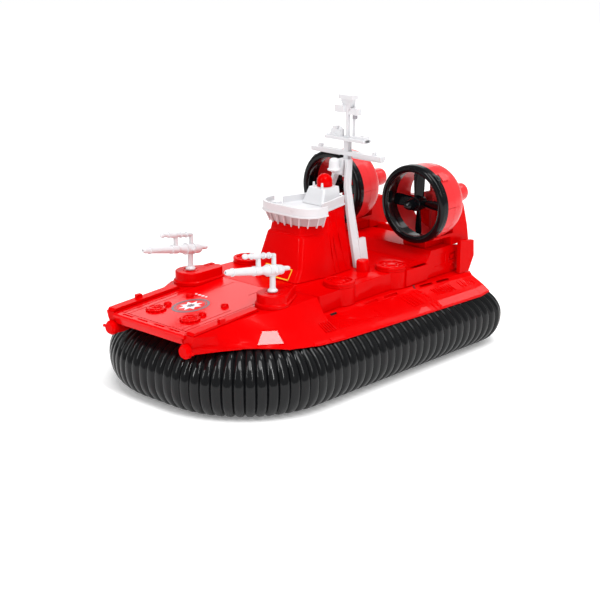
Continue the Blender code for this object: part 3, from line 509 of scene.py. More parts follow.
def skirt_corners(inset):
    """Return centre, radius and start angle of the outline's corners, from the bow's port one."""
    bow = SKIRT_RADII[0] - inset
    stern = max(SKIRT_RADII[1] - inset, SKIRT_INNER_RADIUS)
    fore = SKIRT_HALF[0] - inset - bow
    aft = SKIRT_HALF[0] - inset - stern
    fore_side = SKIRT_HALF[1] - inset - bow
    aft_side = SKIRT_HALF[1] - inset - stern
    return ((fore, fore_side, bow, 0.0), (-aft, aft_side, stern, 90.0),
            (-aft, -aft_side, stern, 180.0), (fore, -fore_side, bow, 270.0))


def corner_point(corner, share):
    """Return the point at a share of the way round a corner's arc."""
    x, y, radius, start = corner
    turn = math.radians(start + 90.0 * share)
    return Vector((x + radius * math.cos(turn), y + radius * math.sin(turn)))


def skirt_way(share):
    """Return the outer and the inner outline's point at a share of the way round."""
    outer = skirt_corners(0.0)
    lengths = []
    for corner, following in zip(outer, outer[1:] + outer[:1]):
        lengths.append(math.pi / 2.0 * corner[2])
        lengths.append((corner_point(following, 0.0) - corner_point(corner, 1.0)).length)
    rest = (share % 1.0) * sum(lengths)
    stretch = 0
    while rest > lengths[stretch] and stretch < len(lengths) - 1:
        rest -= lengths[stretch]
        stretch += 1
    way = rest / lengths[stretch]
    pair = []
    for corners in (outer, skirt_corners(SKIRT_WIDTH)):
        corner = corners[stretch // 2]
        following = corners[(stretch // 2 + 1) % 4]
        straight = corner_point(corner, 1.0).lerp(corner_point(following, 0.0), way)
        pair.append(straight if stretch % 2 else corner_point(corner, way))
    return pair


def skirt_section(outer, inner):
    """Return the rounded section between an outer and an inner point."""
    middle = SKIRT_HEIGHT / 2.0
    section = []
    for k in range(SECTION_SIDES):
        turn = math.tau * k / SECTION_SIDES
        power = 2.0 / (SHOULDER_POWER if math.sin(turn) > 0.0 else FOOT_POWER)
        wide = math.copysign(abs(math.cos(turn)) ** power, math.cos(turn))
        tall = math.copysign(abs(math.sin(turn)) ** power, math.sin(turn))
        point = outer.lerp(inner, (1.0 - wide) / 2.0)
        section.append((point.x, point.y, middle + tall * middle))
    return section


def make_skirt():
    """Ribbed black skirt: a smooth ring with its ribs pressed in by the tree."""
    stations = RIB_COUNT * RIB_STEPS
    ring = loft([skirt_section(*skirt_way(i / stations)) for i in range(stations)], closed=True)
    phases = [i // SECTION_SIDES / RIB_STEPS + 0.5 for i in range(stations * SECTION_SIDES)]
    bmesh.ops.recalc_face_normals(ring, faces=ring.faces)
    bmesh.ops.scale(ring, verts=ring.verts, vec=(MM, MM, MM))
    mesh = mesh_of("skirt_ring", ring)
    mesh.attributes.new("rib_phase", "FLOAT", "POINT").data.foreach_set("value", phases)
    mesh.shade_smooth()
    values = {"Groove Depth": GROOVE_DEPTH * MM, "Crest Fullness": CREST_FULLNESS}
    ribbed = grown(RIBS, SKIRT_BLACK, values, mesh)
    mesh_piece("skirt_ribs", ribbed, SKIRT_BLACK, CRAFT, ("skirt",), crease=80.0)


# Hull

# Stations along the hull: x, foot of the flare (y, z) and its top (y, z)
HULL_LINES = (
    (-166.0, 101.0, 59.6, 87.0, 66.5), (-150.0, 102.5, 59.4, 86.0, 66.5), (-80.0, 101.5, 59.8, 80.0, 66.5),
    (0.0, 103.1, 60.4, 77.5, 66.5), (45.0, 102.1, 61.0, 78.0, 68.0), (46.0, 102.1, 61.0, 80.0, 72.0),
    (58.0, 101.1, 61.5, 81.0, 72.0), (80.0, 97.0, 61.8, 82.0, 72.0), (96.0, 94.0, 62.4, 80.0, 72.0),
)
# Groups of ribs across the flare: first x, last x, how many, from and to (share of the flare), radius
FLARE_RIBS = (
    (61.0, 49.0, 5, 0.18, 0.72, 0.5), (44.0, 31.0, 6, 0.18, 0.72, 0.5), (-59.0, -73.0, 4, 0.08, 0.88, 0.9),
    (-101.0, -127.0, 9, 0.3, 0.82, 0.5), (-139.0, -158.0, 5, 0.3, 0.84, 0.6),
)
DASH_COUNT = 7  # dashed line low on the flare
DASH_START = 28.0
DASH_PITCH = 6.2
DASH_LENGTH = 4.4
DASH_SHARE = 0.27
HOOK_X = -15.0
BAND_PLACES = (-81.0, -87.0)
# Pockets along the top of the hull's side: aft x, fore x
SIDE_POCKETS = ((-133.0, -116.0), (-110.0, -93.0), (-60.5, -41.5), (-32.0, -13.5), (25.0, 33.5))
# The flare's foot stands out a little more between these places
FOOT_STRETCH = (-10.0, 60.0)
FOOT_LEVEL = 60.7
FOOT_PUSH = 2.6


def flare_at(x, share):
    """Return a point on the port flare, from its foot at 0 to its top at 1."""
    foot_y, foot_z, top_y, top_z = between(HULL_LINES, x)[1:]
    return (x, foot_y + (top_y - foot_y) * share, foot_z + (top_z - foot_z) * share)


def to_side(points, side):
    """Mirror points to the other side when it is starboard."""
    return [(x, side * y, z) for x, y, z in points]


def flare_strips(side):
    """Return the short ribs, the dashed line with its hook and the two slanted bands of one flare."""
    lines = []
    for start, end, count, low, high, radius in FLARE_RIBS:
        for i in range(count):
            x = start + (end - start) * i / (count - 1)
            lines.append(((flare_at(x, low), flare_at(x, high)), radius))
    for i in range(DASH_COUNT):
        x = DASH_START - DASH_PITCH * i
        lines.append(((flare_at(x, DASH_SHARE), flare_at(x - DASH_LENGTH, DASH_SHARE)), 0.35))
    lines.append(((flare_at(HOOK_X, 0.62), flare_at(HOOK_X, 0.08)), 0.5))
    for x in BAND_PLACES:
        points = (flare_at(x, 1.0), flare_at(x, 0.5), flare_at(x, 0.0), (x, 105.5, 57.3), (x, 109.6, 54.8))
        lines.append((points, 0.8))
    return [tube(to_side(points, side), radius, 8) for points, radius in lines]


def facet(corners, side, lift=0.3, depth=0.8):
    """Return a thin flat plate on four corners given for the port side."""
    points = [Vector(point) for point in to_side(corners, side)]
    normal = (points[1] - points[0]).cross(points[3] - points[0]).normalized()
    if normal.z < 0.0:
        normal.negate()
    return loft([[point + normal * rise for point in points] for rise in (-depth, lift)])


# Facets low on the hull's side, each by its corners
STERN_FACETS = (
    ((-90.0, 109.0, 55.2), (-150.0, 110.2, 54.5), (-150.0, 102.9, 59.1), (-90.0, 102.2, 59.5)),
    ((-150.0, 110.2, 54.5), (-165.6, 108.3, 54.9), (-165.6, 101.2, 59.4), (-150.0, 102.9, 59.1)),
    ((-52.0, 108.5, 55.5), (-74.0, 108.8, 55.3), (-72.0, 104.0, 58.3), (-64.0, 103.2, 58.9)),
    ((64.0, 105.8, 57.6), (47.0, 106.6, 57.0), (47.0, 104.0, 58.8), (64.0, 103.2, 59.4)),
    ((84.0, 104.0, 58.5), (66.0, 105.6, 57.6), (66.0, 103.4, 59.1), (84.0, 101.9, 60.0)),
)
BOW_FACET = ((118.3, 72.6, 72.3), (106.6, 79.4, 71.5), (110.2, 91.2, 63.2), (131.0, 79.3, 64.2))


def make_hull():
    """Red hull: its flare's ribs and facets, the pockets along its side, and painted shade in the slot and
    the screw's hole.
    """
    shape = copy_of("lower_hull")
    for vert in shape.verts:
        in_stretch = FOOT_STRETCH[0] < vert.co.x < FOOT_STRETCH[1]
        if in_stretch and abs(vert.co.y) > 98.0 and abs(vert.co.z - FOOT_LEVEL) < 0.6:
            vert.co.y += math.copysign(FOOT_PUSH, vert.co.y)
    cutters = [slab(x_range, (side * 75.6, side * 84.0), (67.3, 69.4))
               for x_range in SIDE_POCKETS for side in (1.0, -1.0)]
    dress("lower_hull", RED, width=0.5, cutters=cutters, shape=shape)
    for tail, side in BOTH:
        finish_piece("flare_strips_" + tail, together(*flare_strips(side)), RED)
        plates = together(*[facet(corners, side) for corners in STERN_FACETS])
        finish_piece("stern_facets_" + tail, plates, DECK_RED, round_edges=0.2)
        finish_piece("bow_facet_" + tail, facet(BOW_FACET, side, 0.4, 2.5), POLISHED_RED, round_edges=0.2)
        # The black plates in the slot and the screw's hole are painted shade
        slot_floor = slab((25.2, 33.3), (side * 75.4, side * 76.2), (67.4, 69.3))
        outwards = (0.0, side * 0.66, 0.75)
        screw = turned([(-0.6, 2.3), (0.25, 2.3), (0.25, 1.7)], (-86.5, side * 77.3, 69.0), outwards, 24)
        finish_piece("side_hole_shades_" + tail, together(slot_floor, screw), HOLE_SHADE_BLACK)


make_skirt()
dress("base_tray", SKIRT_BLACK)
make_hull()


# Foredeck

DECK_TOP = 87.0  # level where the slope starts
SLOPE_START = 58.0
SLOPE = 0.063
DECK_PITCH = math.degrees(math.atan(SLOPE))
PRINT = (-0.2, 0.12)  # printed shapes go from and to these heights
BOSSES = ((156.2, 22.1), (156.2, -22.1))
BUTTONS = ((141.8, 22.8), (141.8, -22.8), (114.8, 22.8), (114.8, -22.8))
BADGE = (131.0, -4.0, 19.0, 15.0)  # centre x and y, half length and half width
DOTS_X = 106.5
DOTS = ((-23.0, 1.2), (-18.6, 1.5), (-14.2, 1.5), (-9.8, 1.2))  # y and radius


def foredeck_level(x):
    """Return the height of the foredeck's top."""
    return DECK_TOP - max(0.0, x - SLOPE_START) * SLOPE


def deck_block(x_range, y_range, low, high):
    """Return a block that follows the foredeck's slope."""
    foot = [(x, foredeck_level(x) + low) for x in x_range]
    top = [(x, foredeck_level(x) + high) for x in reversed(x_range)]
    return side_plate(foot + top, *y_range)


def deck_print(outline, heights=PRINT):
    """Return a thin printed shape on the foredeck's slope."""
    return loft([[(x, y, foredeck_level(x) + rise) for x, y in outline] for rise in heights])


def badge_point(share, turn):
    """Return the badge's point at an angle, at a share of its size."""
    x, y, length, width = BADGE
    return (x + length * share * math.cos(turn), y + width * share * math.sin(turn))


def oval_band(outer, inner):
    """Return a printed oval ring of the badge, between two shares of its size."""
    low, high = PRINT
    sections = []
    for i in range(64):
        section = []
        for share, rise in ((outer, low), (outer, high), (inner, high), (inner, low)):
            x, y = badge_point(share, math.tau * i / 64)
            section.append((x, y, foredeck_level(x) + rise))
        sections.append(section)
    return loft(sections, closed=True)


def star(points, outer, inner, turn_deg):
    """Return a star's outline round the badge's centre."""
    turns = [math.radians(turn_deg) + math.pi * i / points for i in range(2 * points)]
    return [badge_point(inner if i % 2 else outer, turn) for i, turn in enumerate(turns)]


def disc(x, y, radius):
    """Return the outline of a round dot."""
    turns = [math.tau * i / 20 for i in range(20)]
    return [(x + radius * math.cos(turn), y + radius * math.sin(turn)) for turn in turns]


def make_badge():
    """Plain oval badge: grey rings, a pale star and a row of four dots."""
    finish_piece("badge_rings", together(oval_band(1.0, 0.86), oval_band(0.8, 0.76)), BADGE_GREY)
    dots = [deck_print(disc(DOTS_X, y, radius)) for y, radius in DOTS]
    finish_piece("badge_star", together(deck_print(star(8, 0.64, 0.36, 22.5)), *dots), BADGE_WHITE)
    finish_piece("badge_heart", deck_print(star(8, 0.26, 0.16, 0.0), (-0.1, 0.2)), BADGE_GREY)


def make_foredeck():
    """Foredeck panel with its grooves, front recesses, notched bosses and domed buttons."""
    lines = [((177.6, 178.5), (-43.0, 43.0))]
    for side in (1.0, -1.0):
        for y, x_start, x_end in ((39.6, 60.0, 177.4), (34.0, 118.0, 177.0), (44.2, 90.0, 183.0)):
            lines.append(((x_start, x_end), (side * y - 0.45, side * y + 0.45)))
        lines.append(((62.0, 81.0), (side * 18.6 - 0.4, side * 18.6 + 0.4)))
    grooves = [deck_block(x_range, y_range, -0.9, 3.0) for x_range, y_range in lines]
    # Dark strips at the grooves' bottoms are painted shade
    floors = [deck_block(x_range, y_range, -1.0, -0.7) for x_range, y_range in lines]
    finish_piece("groove_shade_floors", together(*floors), GROOVE_SHADE_RED)
    for y in (-30.0, -11.0, 11.0, 30.0):
        grooves.append(deck_block((180.6, 183.2), (y - 6.5, y + 6.5), -0.9, 3.0))
    dress("foredeck", DECK_RED, width=0.2, cutters=grooves)
    for i, (x, y) in enumerate(BOSSES):
        level = foredeck_level(x)
        rim("boss_notches_%d" % i, (x, y, level + 0.85), 8.5, 12, (1.6, 2.6, 1.7), RED, DECK_PITCH)
        rim("boss_star_%d" % i, (x, y, level + 1.9), 3.6, 6, (4.6, 1.1, 0.9), RED, DECK_PITCH)
        ring = hoop([(1.6, 6.9), (2.3, 6.7), (2.3, 6.1), (1.6, 5.9)], (x, y, level), UP)
        dome = turned([(1.6, 2.2), (2.4, 1.9), (2.9, 1.2), (3.1, 0.0)], (x, y, level), UP, 24)
        finish_piece("boss_centre_%d" % i, together(ring, dome), RED)
    profile = [(1.4, 3.5), (2.0, 3.2), (2.6, 2.5), (3.0, 1.5), (3.2, 0.0)]
    domes = [turned(profile, (x, y, foredeck_level(x)), UP, 32) for x, y in BUTTONS]
    finish_piece("button_domes", together(*domes), RED)
    make_badge()


# Cannons and their mounts

MOUNT_SIDE = 53.4
POST_X = 85.0
MOUNT_TOP = 96.7
CANNON_LEVEL = 117.0
CANNON_PITCH = 9.3  # degrees above level
UPPER_LIFT = 13.5  # from the cannon's body to the tube above it
POST = ((-24.0, 2.6), (-20.0, 2.6), (-19.9, 4.2), (-19.4, 4.6), (-18.2, 4.6), (-17.6, 4.0), (-16.8, 3.1),
        (-15.6, 2.7), (0.0, 2.6))
BARREL = ((-13.2, 2.0), (-12.8, 3.0), (-12.0, 3.9), (-10.4, 4.4), (-3.0, 4.9), (5.0, 4.9), (8.4, 4.5),
          (11.4, 3.7), (13.0, 3.4), (15.0, 3.4), (15.6, 3.9), (16.4, 4.1), (19.6, 4.1), (20.6, 3.8),
          (30.0, 3.6), (44.0, 3.15), (55.4, 2.75), (57.2, 2.4), (58.3, 1.7), (58.5, 1.0), (56.0, 0.9))
HANDLE = ((-22.2, 0.0), (-21.8, 1.1), (-20.8, 1.8), (-19.0, 2.1), (-11.0, 2.3))
UPPER = ((-3.4, 0.0), (-3.0, 1.2), (-2.0, 1.9), (16.6, 2.2), (17.4, 2.7), (18.4, 2.9), (21.6, 2.9),
         (23.0, 2.6), (31.0, 1.7), (32.0, 1.8), (33.0, 2.4), (34.6, 2.6), (36.0, 2.2), (36.8, 1.3),
         (37.0, 0.0))
PIN = ((-6.6, 0.0), (-6.6, 1.6), (-6.2, 2.0), (6.2, 2.0), (6.6, 1.6), (6.6, 0.0))
# Collars: start, end and radius
BARREL_COLLARS = ((-3.6, -2.2, 5.5), (5.4, 6.8, 5.5), (23.0, 24.4, 4.4), (49.4, 50.8, 3.7))
UPPER_COLLARS = ((4.0, 5.4, 2.9), (11.0, 12.4, 2.9), (26.0, 27.2, 2.9))


def make_mount(tail, side):
    """Cannon mount with a slot in its oblong mark and a collar round the post."""
    y = side * MOUNT_SIDE
    slot = slab((56.6, 63.4), (y - 2.0, y), (96.4, 99.0))
    dress("cannon_mount_" + tail, RED, width=0.6, segments=3, cutters=(slot,))
    ring = hoop([(-0.5, 7.4), (0.35, 7.4), (0.35, 6.6), (-0.5, 6.4)], (POST_X, y, MOUNT_TOP), UP)
    finish_piece("mount_collar_" + tail, ring, RED)


def collar(place, base, axis, depth, sides):
    """Return a collar with chamfered edges round a tube."""
    start, end, radius = place
    profile = [(start, radius - depth), (start + 0.3, radius), (end - 0.3, radius), (end, radius - depth)]
    return turned(profile, base, axis, sides)


def make_cannon(tail, side):
    """White water cannon with rounded tubes, collars and a ball at the upper tube's end."""
    y = side * MOUNT_SIDE
    centre = (POST_X, y, CANNON_LEVEL)
    pitch = math.radians(CANNON_PITCH)
    forwards = (math.cos(pitch), 0.0, math.sin(pitch))
    over = (POST_X, y, CANNON_LEVEL + UPPER_LIFT)
    ahead = (POST_X + 18.0 * forwards[0], y, CANNON_LEVEL + 18.0 * forwards[2])
    behind = (POST_X - 1.6, y, CANNON_LEVEL)
    grip = (POST_X, y, CANNON_LEVEL + 1.0)
    shapes = [turned(POST, centre, UP, 32), turned(BARREL, centre, forwards, 40),
              turned(HANDLE, grip, forwards, 24), turned(UPPER, over, forwards, 32),
              turned([(0.0, 2.1), (12.6, 2.0), (14.4, 1.9)], behind, UP, 24),
              turned([(-2.0, 2.5), (7.0, 2.2), (14.0, 2.0)], ahead, UP, 24),
              turned(PIN, centre, (0.0, 1.0, 0.0), 24)]
    shapes += [collar(place, centre, forwards, 1.4, 32) for place in BARREL_COLLARS]
    shapes += [collar(place, over, forwards, 1.1, 24) for place in UPPER_COLLARS]
    stand_in("cannon_" + tail, together(*shapes), WHITE, "cannon_" + tail, crease=50.0)


# Deck houses, tower, bridge and mast

HOUSE_TOP = 87.3
COVER_SIDE = 59.3
COVER = ((0.0, 15.0), (1.3, 15.0), (1.5, 14.5), (2.5, 14.5), (2.7, 15.0), (4.1, 15.0), (4.6, 14.6),
         (4.7, 14.0), (4.7, 12.4), (4.3, 11.8), (3.4, 11.6), (3.3, 6.4), (3.8, 5.8), (4.2, 5.0),
         (4.5, 3.4), (4.6, 0.0))


def make_house(tail, side):
    """Side house with the proud aft box, small hatches and the round lift fan covers."""
    dress("side_house_" + tail, RED, width=0.5)
    box = slab((-109.4, -76.5), (side * 70.0, side * 75.2), (70.6, 87.0))
    hatch = slab((-34.0, -20.0), (side * 46.0, side * 60.0), (86.6, 87.7))
    step = slab((-104.0, -94.0), (side * 50.0, side * 64.0), (86.6, 88.0))
    finish_piece("house_boxes_" + tail, together(box, hatch, step), RED, round_edges=0.5, segments=3)
    y = side * COVER_SIDE
    for place, x in (("fore", 2.8), ("aft", -72.0)):
        ending = "%s_%s" % (place, tail)
        stand_in("lift_cover_" + ending, turned(COVER, (x, y, HOUSE_TOP), UP, 72), RED, crease=32.0)
        rim("cover_spokes_" + ending, (x, y, 91.0), 9.0, 10, (4.4, 0.9, 0.9), RED)


# Tower by height: z, side point (x, y), rear point (x, y)
TOWER_SIDE = ((87.3, -6.0, 35.0, -44.5, 33.0), (98.0, -8.0, 33.0, -45.5, 29.4),
              (127.0, -9.0, 29.5, -49.0, 20.6), (128.5, -9.5, 28.0, -49.6, 20.0),
              (136.7, -10.0, 27.0, -51.0, 17.6), (145.7, -10.0, 26.5, -52.0, 15.5))
# Ribs up the tower's side: x at the foot and at the head, radius
TOWER_RIBS = ((-21.0, -18.5, 0.7), (-27.0, -24.0, 0.45), (-38.0, -33.5, 0.7))
# The blank sign's bars on the tower's front: y range, height range
SIGN_BARS = (((-15.5, 19.0), (88.4, 89.2)), ((-15.5, 19.0), (97.0, 97.8)),
             ((-15.5, -14.7), (88.4, 97.8)), ((18.2, 19.0), (88.4, 97.8)))
FRONT_FOOT = (30.0, 87.3)  # the tower's front, x and z
FRONT_HEAD = (22.5, 98.0)


def tower_side(x, z):
    """Return a point on the tower's port side."""
    fore_x, fore_y, rear_x, rear_y = between(TOWER_SIDE, z)[1:]
    return (x, fore_y + (rear_y - fore_y) * (x - fore_x) / (rear_x - fore_x), z)


def make_tower():
    """Tapered tower with upright ribs on its sides and the blank sign."""
    dress("tower", RED, width=1.4, segments=4)
    for tail, side in BOTH:
        ribs = []
        for low_x, high_x, radius in TOWER_RIBS:
            points = [tower_side(low_x + (high_x - low_x) * i / 8, 89.0 + 55.0 * i / 8) for i in range(9)]
            ribs.append(tube(to_side(points, side), radius, 8))
        finish_piece("tower_ribs_" + tail, together(*ribs), RED)
    lean = (FRONT_FOOT[0] - FRONT_HEAD[0]) / (FRONT_HEAD[1] - FRONT_FOOT[1])
    bars = []
    for y_range, z_range in SIGN_BARS:
        fronts = [(FRONT_FOOT[0] - (z - FRONT_FOOT[1]) * lean, z) for z in z_range]
        profile = [(x - 0.4, z) for x, z in fronts] + [(x + 0.25, z) for x, z in reversed(fronts)]
        bars.append(side_plate(profile, *y_range))
    finish_piece("blank_sign_frame", together(*bars), YELLOW)


def ring_of(node_name, low, high):
    """Return a node's corners between two heights, in order round the bridge."""
    shape = copy_of(node_name)
    points = [vert.co.copy() for vert in shape.verts if low < vert.co.z < high]
    shape.free()
    return sorted(points, key=lambda point: math.atan2(point.y, point.x + 5.0))


# Window frames by their foot (x, y) and their head (x, y)
FRAMES = ((-4.8, -30.7, -1.8, -33.5), (0.7, -30.0, 4.7, -32.8), (8.1, -25.4, 12.2, -27.0),
          (12.3, -17.8, 16.0, -18.2), (13.6, -9.1, 16.8, -8.6), (13.6, -0.3, 16.8, 1.2),
          (13.6, 8.4, 16.8, 10.9), (12.4, 17.1, 15.6, 20.5), (8.4, 24.8, 11.0, 29.0),
          (1.3, 29.7, 2.5, 33.5), (-6.2, 30.9, -6.2, 34.1))


def make_visor():
    """Window band: slanted panes with an upright frame at each step, pointed at its foot."""
    # The panes' darker white is painted shade
    dress("window_visor", PANE_SHADE_WHITE, width=0.25)
    bars = []
    for foot_x, foot_y, head_x, head_y in FRAMES:
        out = Vector((foot_x + 5.0, foot_y, 0.0)).normalized()
        along = Vector((-out.y, out.x, 0.0))
        sections = []
        for x, y, z, reach, half in ((foot_x, foot_y, 135.2, 0.0, 0.25), (foot_x, foot_y, 136.8, 0.5, 0.6),
                                     (head_x, head_y, 145.9, 0.3, 0.6)):
            base = Vector((x, y, z))
            inner = base - out * 1.3
            outer = base + out * reach
            beside = along * half
            sections.append([inner - beside, outer - beside, outer + beside, inner + beside])
        bars.append(loft(sections))
    finish_piece("window_frames", together(*bars), WHITE)


def make_bridge():
    """Bridge deck with a flange round its foot, a console and benches in the well."""
    dress("bridge_deck", WHITE, width=0.4)
    outline = ring_of("bridge_deck", 145.5, 146.5)
    sections = []
    for point in outline:
        out = Vector((point.x + 12.0, point.y, 0.0)).normalized()
        sections.append([point + out * reach + Vector((0.0, 0.0, rise))
                         for reach, rise in ((-0.6, 0.1), (0.7, 0.1), (0.7, 1.5), (-0.6, 1.5))])
    finish_piece("bridge_flange", loft(sections, closed=True), WHITE, round_edges=0.2)
    console = side_plate([(3.0, 149.0), (9.0, 149.0), (9.0, 153.4), (5.0, 152.4)], -16.0, 8.0)
    bench = slab((-6.0, 2.0), (-31.0, -22.0), (149.0, 152.0))
    chest = slab((-6.0, 1.0), (23.0, 31.0), (149.0, 151.6))
    finish_piece("bridge_fittings", together(console, bench, chest), WHITE, round_edges=0.3)


# The lantern's half outline, and the beacon's sizes
BELL = ((0.0, 3.0), (0.3, 5.4), (0.9, 6.4), (2.0, 6.4), (2.4, 5.6), (3.4, 5.1), (9.0, 4.8), (10.8, 4.3),
        (11.9, 3.4), (12.4, 2.2), (12.5, 0.0))
DOME_RADIUS = 7.5
DOME_FOOT = 4.6


def make_lights():
    """Red beacon dome and the white bell lantern."""
    profile = [(0.0, DOME_RADIUS), (DOME_FOOT, DOME_RADIUS)]
    for i in range(1, 9):
        turn = math.pi / 2.0 * i / 9
        profile.append((DOME_FOOT + DOME_RADIUS * math.sin(turn), DOME_RADIUS * math.cos(turn)))
    profile.append((DOME_FOOT + DOME_RADIUS, 0.0))
    stand_in("beacon", turned(profile, (-42.0, 0.0, 164.3), UP, 48), RED)
    stand_in("lantern", turned(BELL, (-55.5, 0.0, 176.8), UP, 48), WHITE)


# Mast leg by height: z, front x, rear x, outer y
LEG_LINE = ((92.0, -50.4, -60.6, 32.6), (117.0, -52.2, -62.6, 25.6), (140.0, -55.4, -64.6, 18.6),
            (162.0, -60.2, -67.6, 11.6), (184.0, -67.4, -74.7, 6.7))
MAST_X = -75.0
KNOB = ((0.0, 1.0), (3.4, 1.0), (3.8, 1.5), (4.6, 1.7), (5.4, 1.4), (5.9, 0.0))
CAP = ((0.0, 2.2), (1.6, 2.1), (2.8, 1.4), (3.3, 0.0))
# Boxes on the cross pieces: half depth about the mast, y range, height range
MAST_BOXES = (
    (3.0, (-19.4, -7.0), (207.5, 213.6)), (3.0, (-17.5, -12.5), (213.0, 216.4)),
    (3.5, (-25.0, -7.0), (204.6, 208.2)), (3.5, (7.0, 25.0), (203.2, 208.8)),
    (3.2, (17.0, 24.8), (208.0, 210.0)), (2.6, (-44.4, -8.0), (188.6, 192.6)),
    (2.6, (8.0, 44.4), (187.6, 192.4)), (2.6, (24.0, 44.4), (191.0, 193.6)),
)


def make_mast():
    """Mast with hollowed legs, knobs and boxes on its cross pieces."""
    for tail, side in BOTH:
        hollow = []
        for z, front, rear, outer in LEG_LINE:
            fore = front - 2.2
            aft = rear + 1.0
            near = outer + 4.0
            away = outer - 0.9
            plan = ((fore, away), (aft, away), (aft, near), (fore, near))
            hollow.append([(x, side * y, z) for x, y in plan])
        dress("mast_leg_" + tail, WHITE, cutters=(loft(hollow),))
    for part in ("pole", "platform", "yard"):
        dress("mast_" + part, WHITE)
    knobs = [turned(KNOB, (MAST_X, y, 191.5), UP, 20) for y in (-33.0, 35.0)]
    knobs.append(turned(CAP, (MAST_X, -9.4, 213.2), UP, 20))
    finish_piece("mast_knobs", together(*knobs), WHITE)
    boxes = [slab((MAST_X - half, MAST_X + half), y_range, z_range) for half, y_range, z_range in MAST_BOXES]
    finish_piece("mast_boxes", together(*boxes), WHITE, round_edges=0.4)
    # The mast box's grey is painted shade
    finish_piece("mast_box", slab((-79.4, -76.0), (4.8, 8.6), (225.0, 230.2)), MAST_BOX_SHADE_GREY, round_edges=0.2)


# Fans and stern

FAN_SIDE = 53.2
FAN_LEVEL = 142.6
AFT = (-1.0, 0.0, 0.0)
CLIP_TURN = 42.0  # degrees outwards from the fan's top
RING = ((117.5, 32.8), (113.0, 32.8), (111.6, 32.2), (110.4, 31.6), (109.5, 31.9), (108.9, 32.6),
        (108.5, 33.8), (108.5, 35.0), (108.8, 36.4), (109.4, 37.5), (110.3, 38.3), (111.4, 38.7),
        (113.6, 38.7), (113.8, 38.4), (114.2, 38.4), (114.4, 38.7), (117.5, 38.7))
LINING = ((117.0, 33.3), (117.0, 32.7), (126.0, 32.7), (126.0, 33.3))
DUCT = ((117.8, 37.6), (129.0, 37.6), (129.3, 37.3), (129.7, 37.3), (130.0, 37.5), (138.0, 36.9),
        (142.4, 35.9), (145.2, 34.6), (146.7, 33.3), (147.0, 32.0), (146.4, 31.0), (144.6, 31.0),
        (117.8, 34.8))
MOTOR = ((133.0, 8.3), (133.4, 9.0), (134.2, 9.3), (176.0, 9.3), (176.4, 8.9), (177.2, 8.9), (177.6, 9.3),
         (187.0, 9.3), (188.6, 8.8), (189.3, 7.8), (189.4, 6.4), (188.2, 6.0), (188.0, 0.0))
HUB = ((98.0, 0.0), (98.5, 1.2), (99.8, 2.3), (102.0, 3.5), (105.0, 4.7), (109.0, 5.6), (113.0, 6.2),
       (113.2, 7.0), (113.6, 7.2), (124.6, 7.2), (125.0, 6.8), (125.0, 2.4), (124.0, 2.3))
BLADE_COUNT = 4
BLADE_X = -120.6
BLADE_ROOT = 4.0
BLADE_REACH = 26.8
# Blade's stations: share of the reach, chord, pitch in degrees, thickness
BLADE_STATIONS = ((0.0, 9.0, 34.0, 2.2), (0.5, 11.0, 22.0, 1.8), (1.0, 12.0, 16.0, 1.3))


def fan_centre(side):
    """Return a point on a fan's axis, from which distances along it are measured."""
    return Vector((0.0, side * FAN_SIDE, FAN_LEVEL))


def at_clip(side, shape):
    """Turn a shape made above a fan's axis to the clip's place."""
    return shifted(shape, fan_centre(side), -side * CLIP_TURN, "X")


def make_ring(tail, side):
    """Black ring with a full round lip, a joint line, a lining and a clip tab."""
    centre = fan_centre(side)
    y = centre.y
    tab = slab((-117.4, -112.6), (y - 3.6, y + 3.6), (180.6, 182.3))
    latch = slab((-117.4, -114.2), (y - 1.8, y + 1.8), (182.0, 183.0))
    shapes = together(hoop(RING, centre, AFT, 120), hoop(LINING, centre, AFT, 96), at_clip(side, tab),
                      at_clip(side, latch))
    stand_in("fan_ring_" + tail, shapes, RING_BLACK, round_edges=0.25, crease=40.0)


def make_duct(tail, side):
    """Duct with rounded shoulders, a joint line, struts, the motor's tube and the clip's bump."""
    centre = fan_centre(side)
    y = centre.y
    seams = [slab((-148.0, -117.0), (y + start, y + end), (142.2, 142.8))
             for start, end in ((36.9, 39.0), (-36.9, -39.0))]
    shell = carved(hoop(DUCT, centre, AFT, 120), seams)
    motor = turned(MOTOR, centre, AFT, 64)
    shaft = turned([(119.0, 2.0), (134.0, 2.0)], centre, AFT, 24)
    struts = [slab((-146.0, -139.0), (y - 32.0, y + 32.0), (141.1, 144.1)),
              slab((-146.0, -139.0), (y - 1.5, y + 1.5), (110.6, 174.6))]
    clip = at_clip(side, slab((-128.0, -119.5), (y - 4.5, y + 4.5), (179.0, 182.2)))
    shapes = together(shell, motor, shaft, *struts, clip)
    # The pink in the duct's red is painted reflection
    stand_in("duct_" + tail, shapes, DUCT_SHEEN_RED, round_edges=0.3, crease=36.0)


def blade(angle, centre):
    """Return one broad twisted blade with a rounded tip."""
    sections = []
    for i in range(13):
        share = i / 12
        chord, pitch, thick = between(BLADE_STATIONS, share)[1:]
        if share > 0.8:
            chord *= math.sqrt(1.0 - 0.5 * ((share - 0.8) / 0.2) ** 2)
        lean = math.radians(pitch)
        along = Vector((math.sin(lean), -math.cos(lean), 0.0))
        through = Vector((math.cos(lean), math.sin(lean), 0.0))
        section = []
        for k in range(14):
            turn = math.tau * k / 14
            point = along * (math.cos(turn) * chord / 2.0) + through * (math.sin(turn) * thick / 2.0)
            point += Vector((0.0, 0.0, BLADE_ROOT + BLADE_REACH * share))
            point.rotate(Matrix.Rotation(angle, 3, "X"))
            section.append(point + centre)
        sections.append(section)
    return loft(sections)


def make_propeller(tail, side):
    """Black propeller with a smooth pointed spinner."""
    centre = fan_centre(side)
    middle = Vector((BLADE_X, centre.y, centre.z))
    blades = [blade(math.tau * k / BLADE_COUNT, middle) for k in range(BLADE_COUNT)]
    shapes = together(turned(HUB, centre, AFT, 48), *blades)
    stand_in("propeller_" + tail, shapes, RING_BLACK, "propeller_" + tail, crease=42.0)


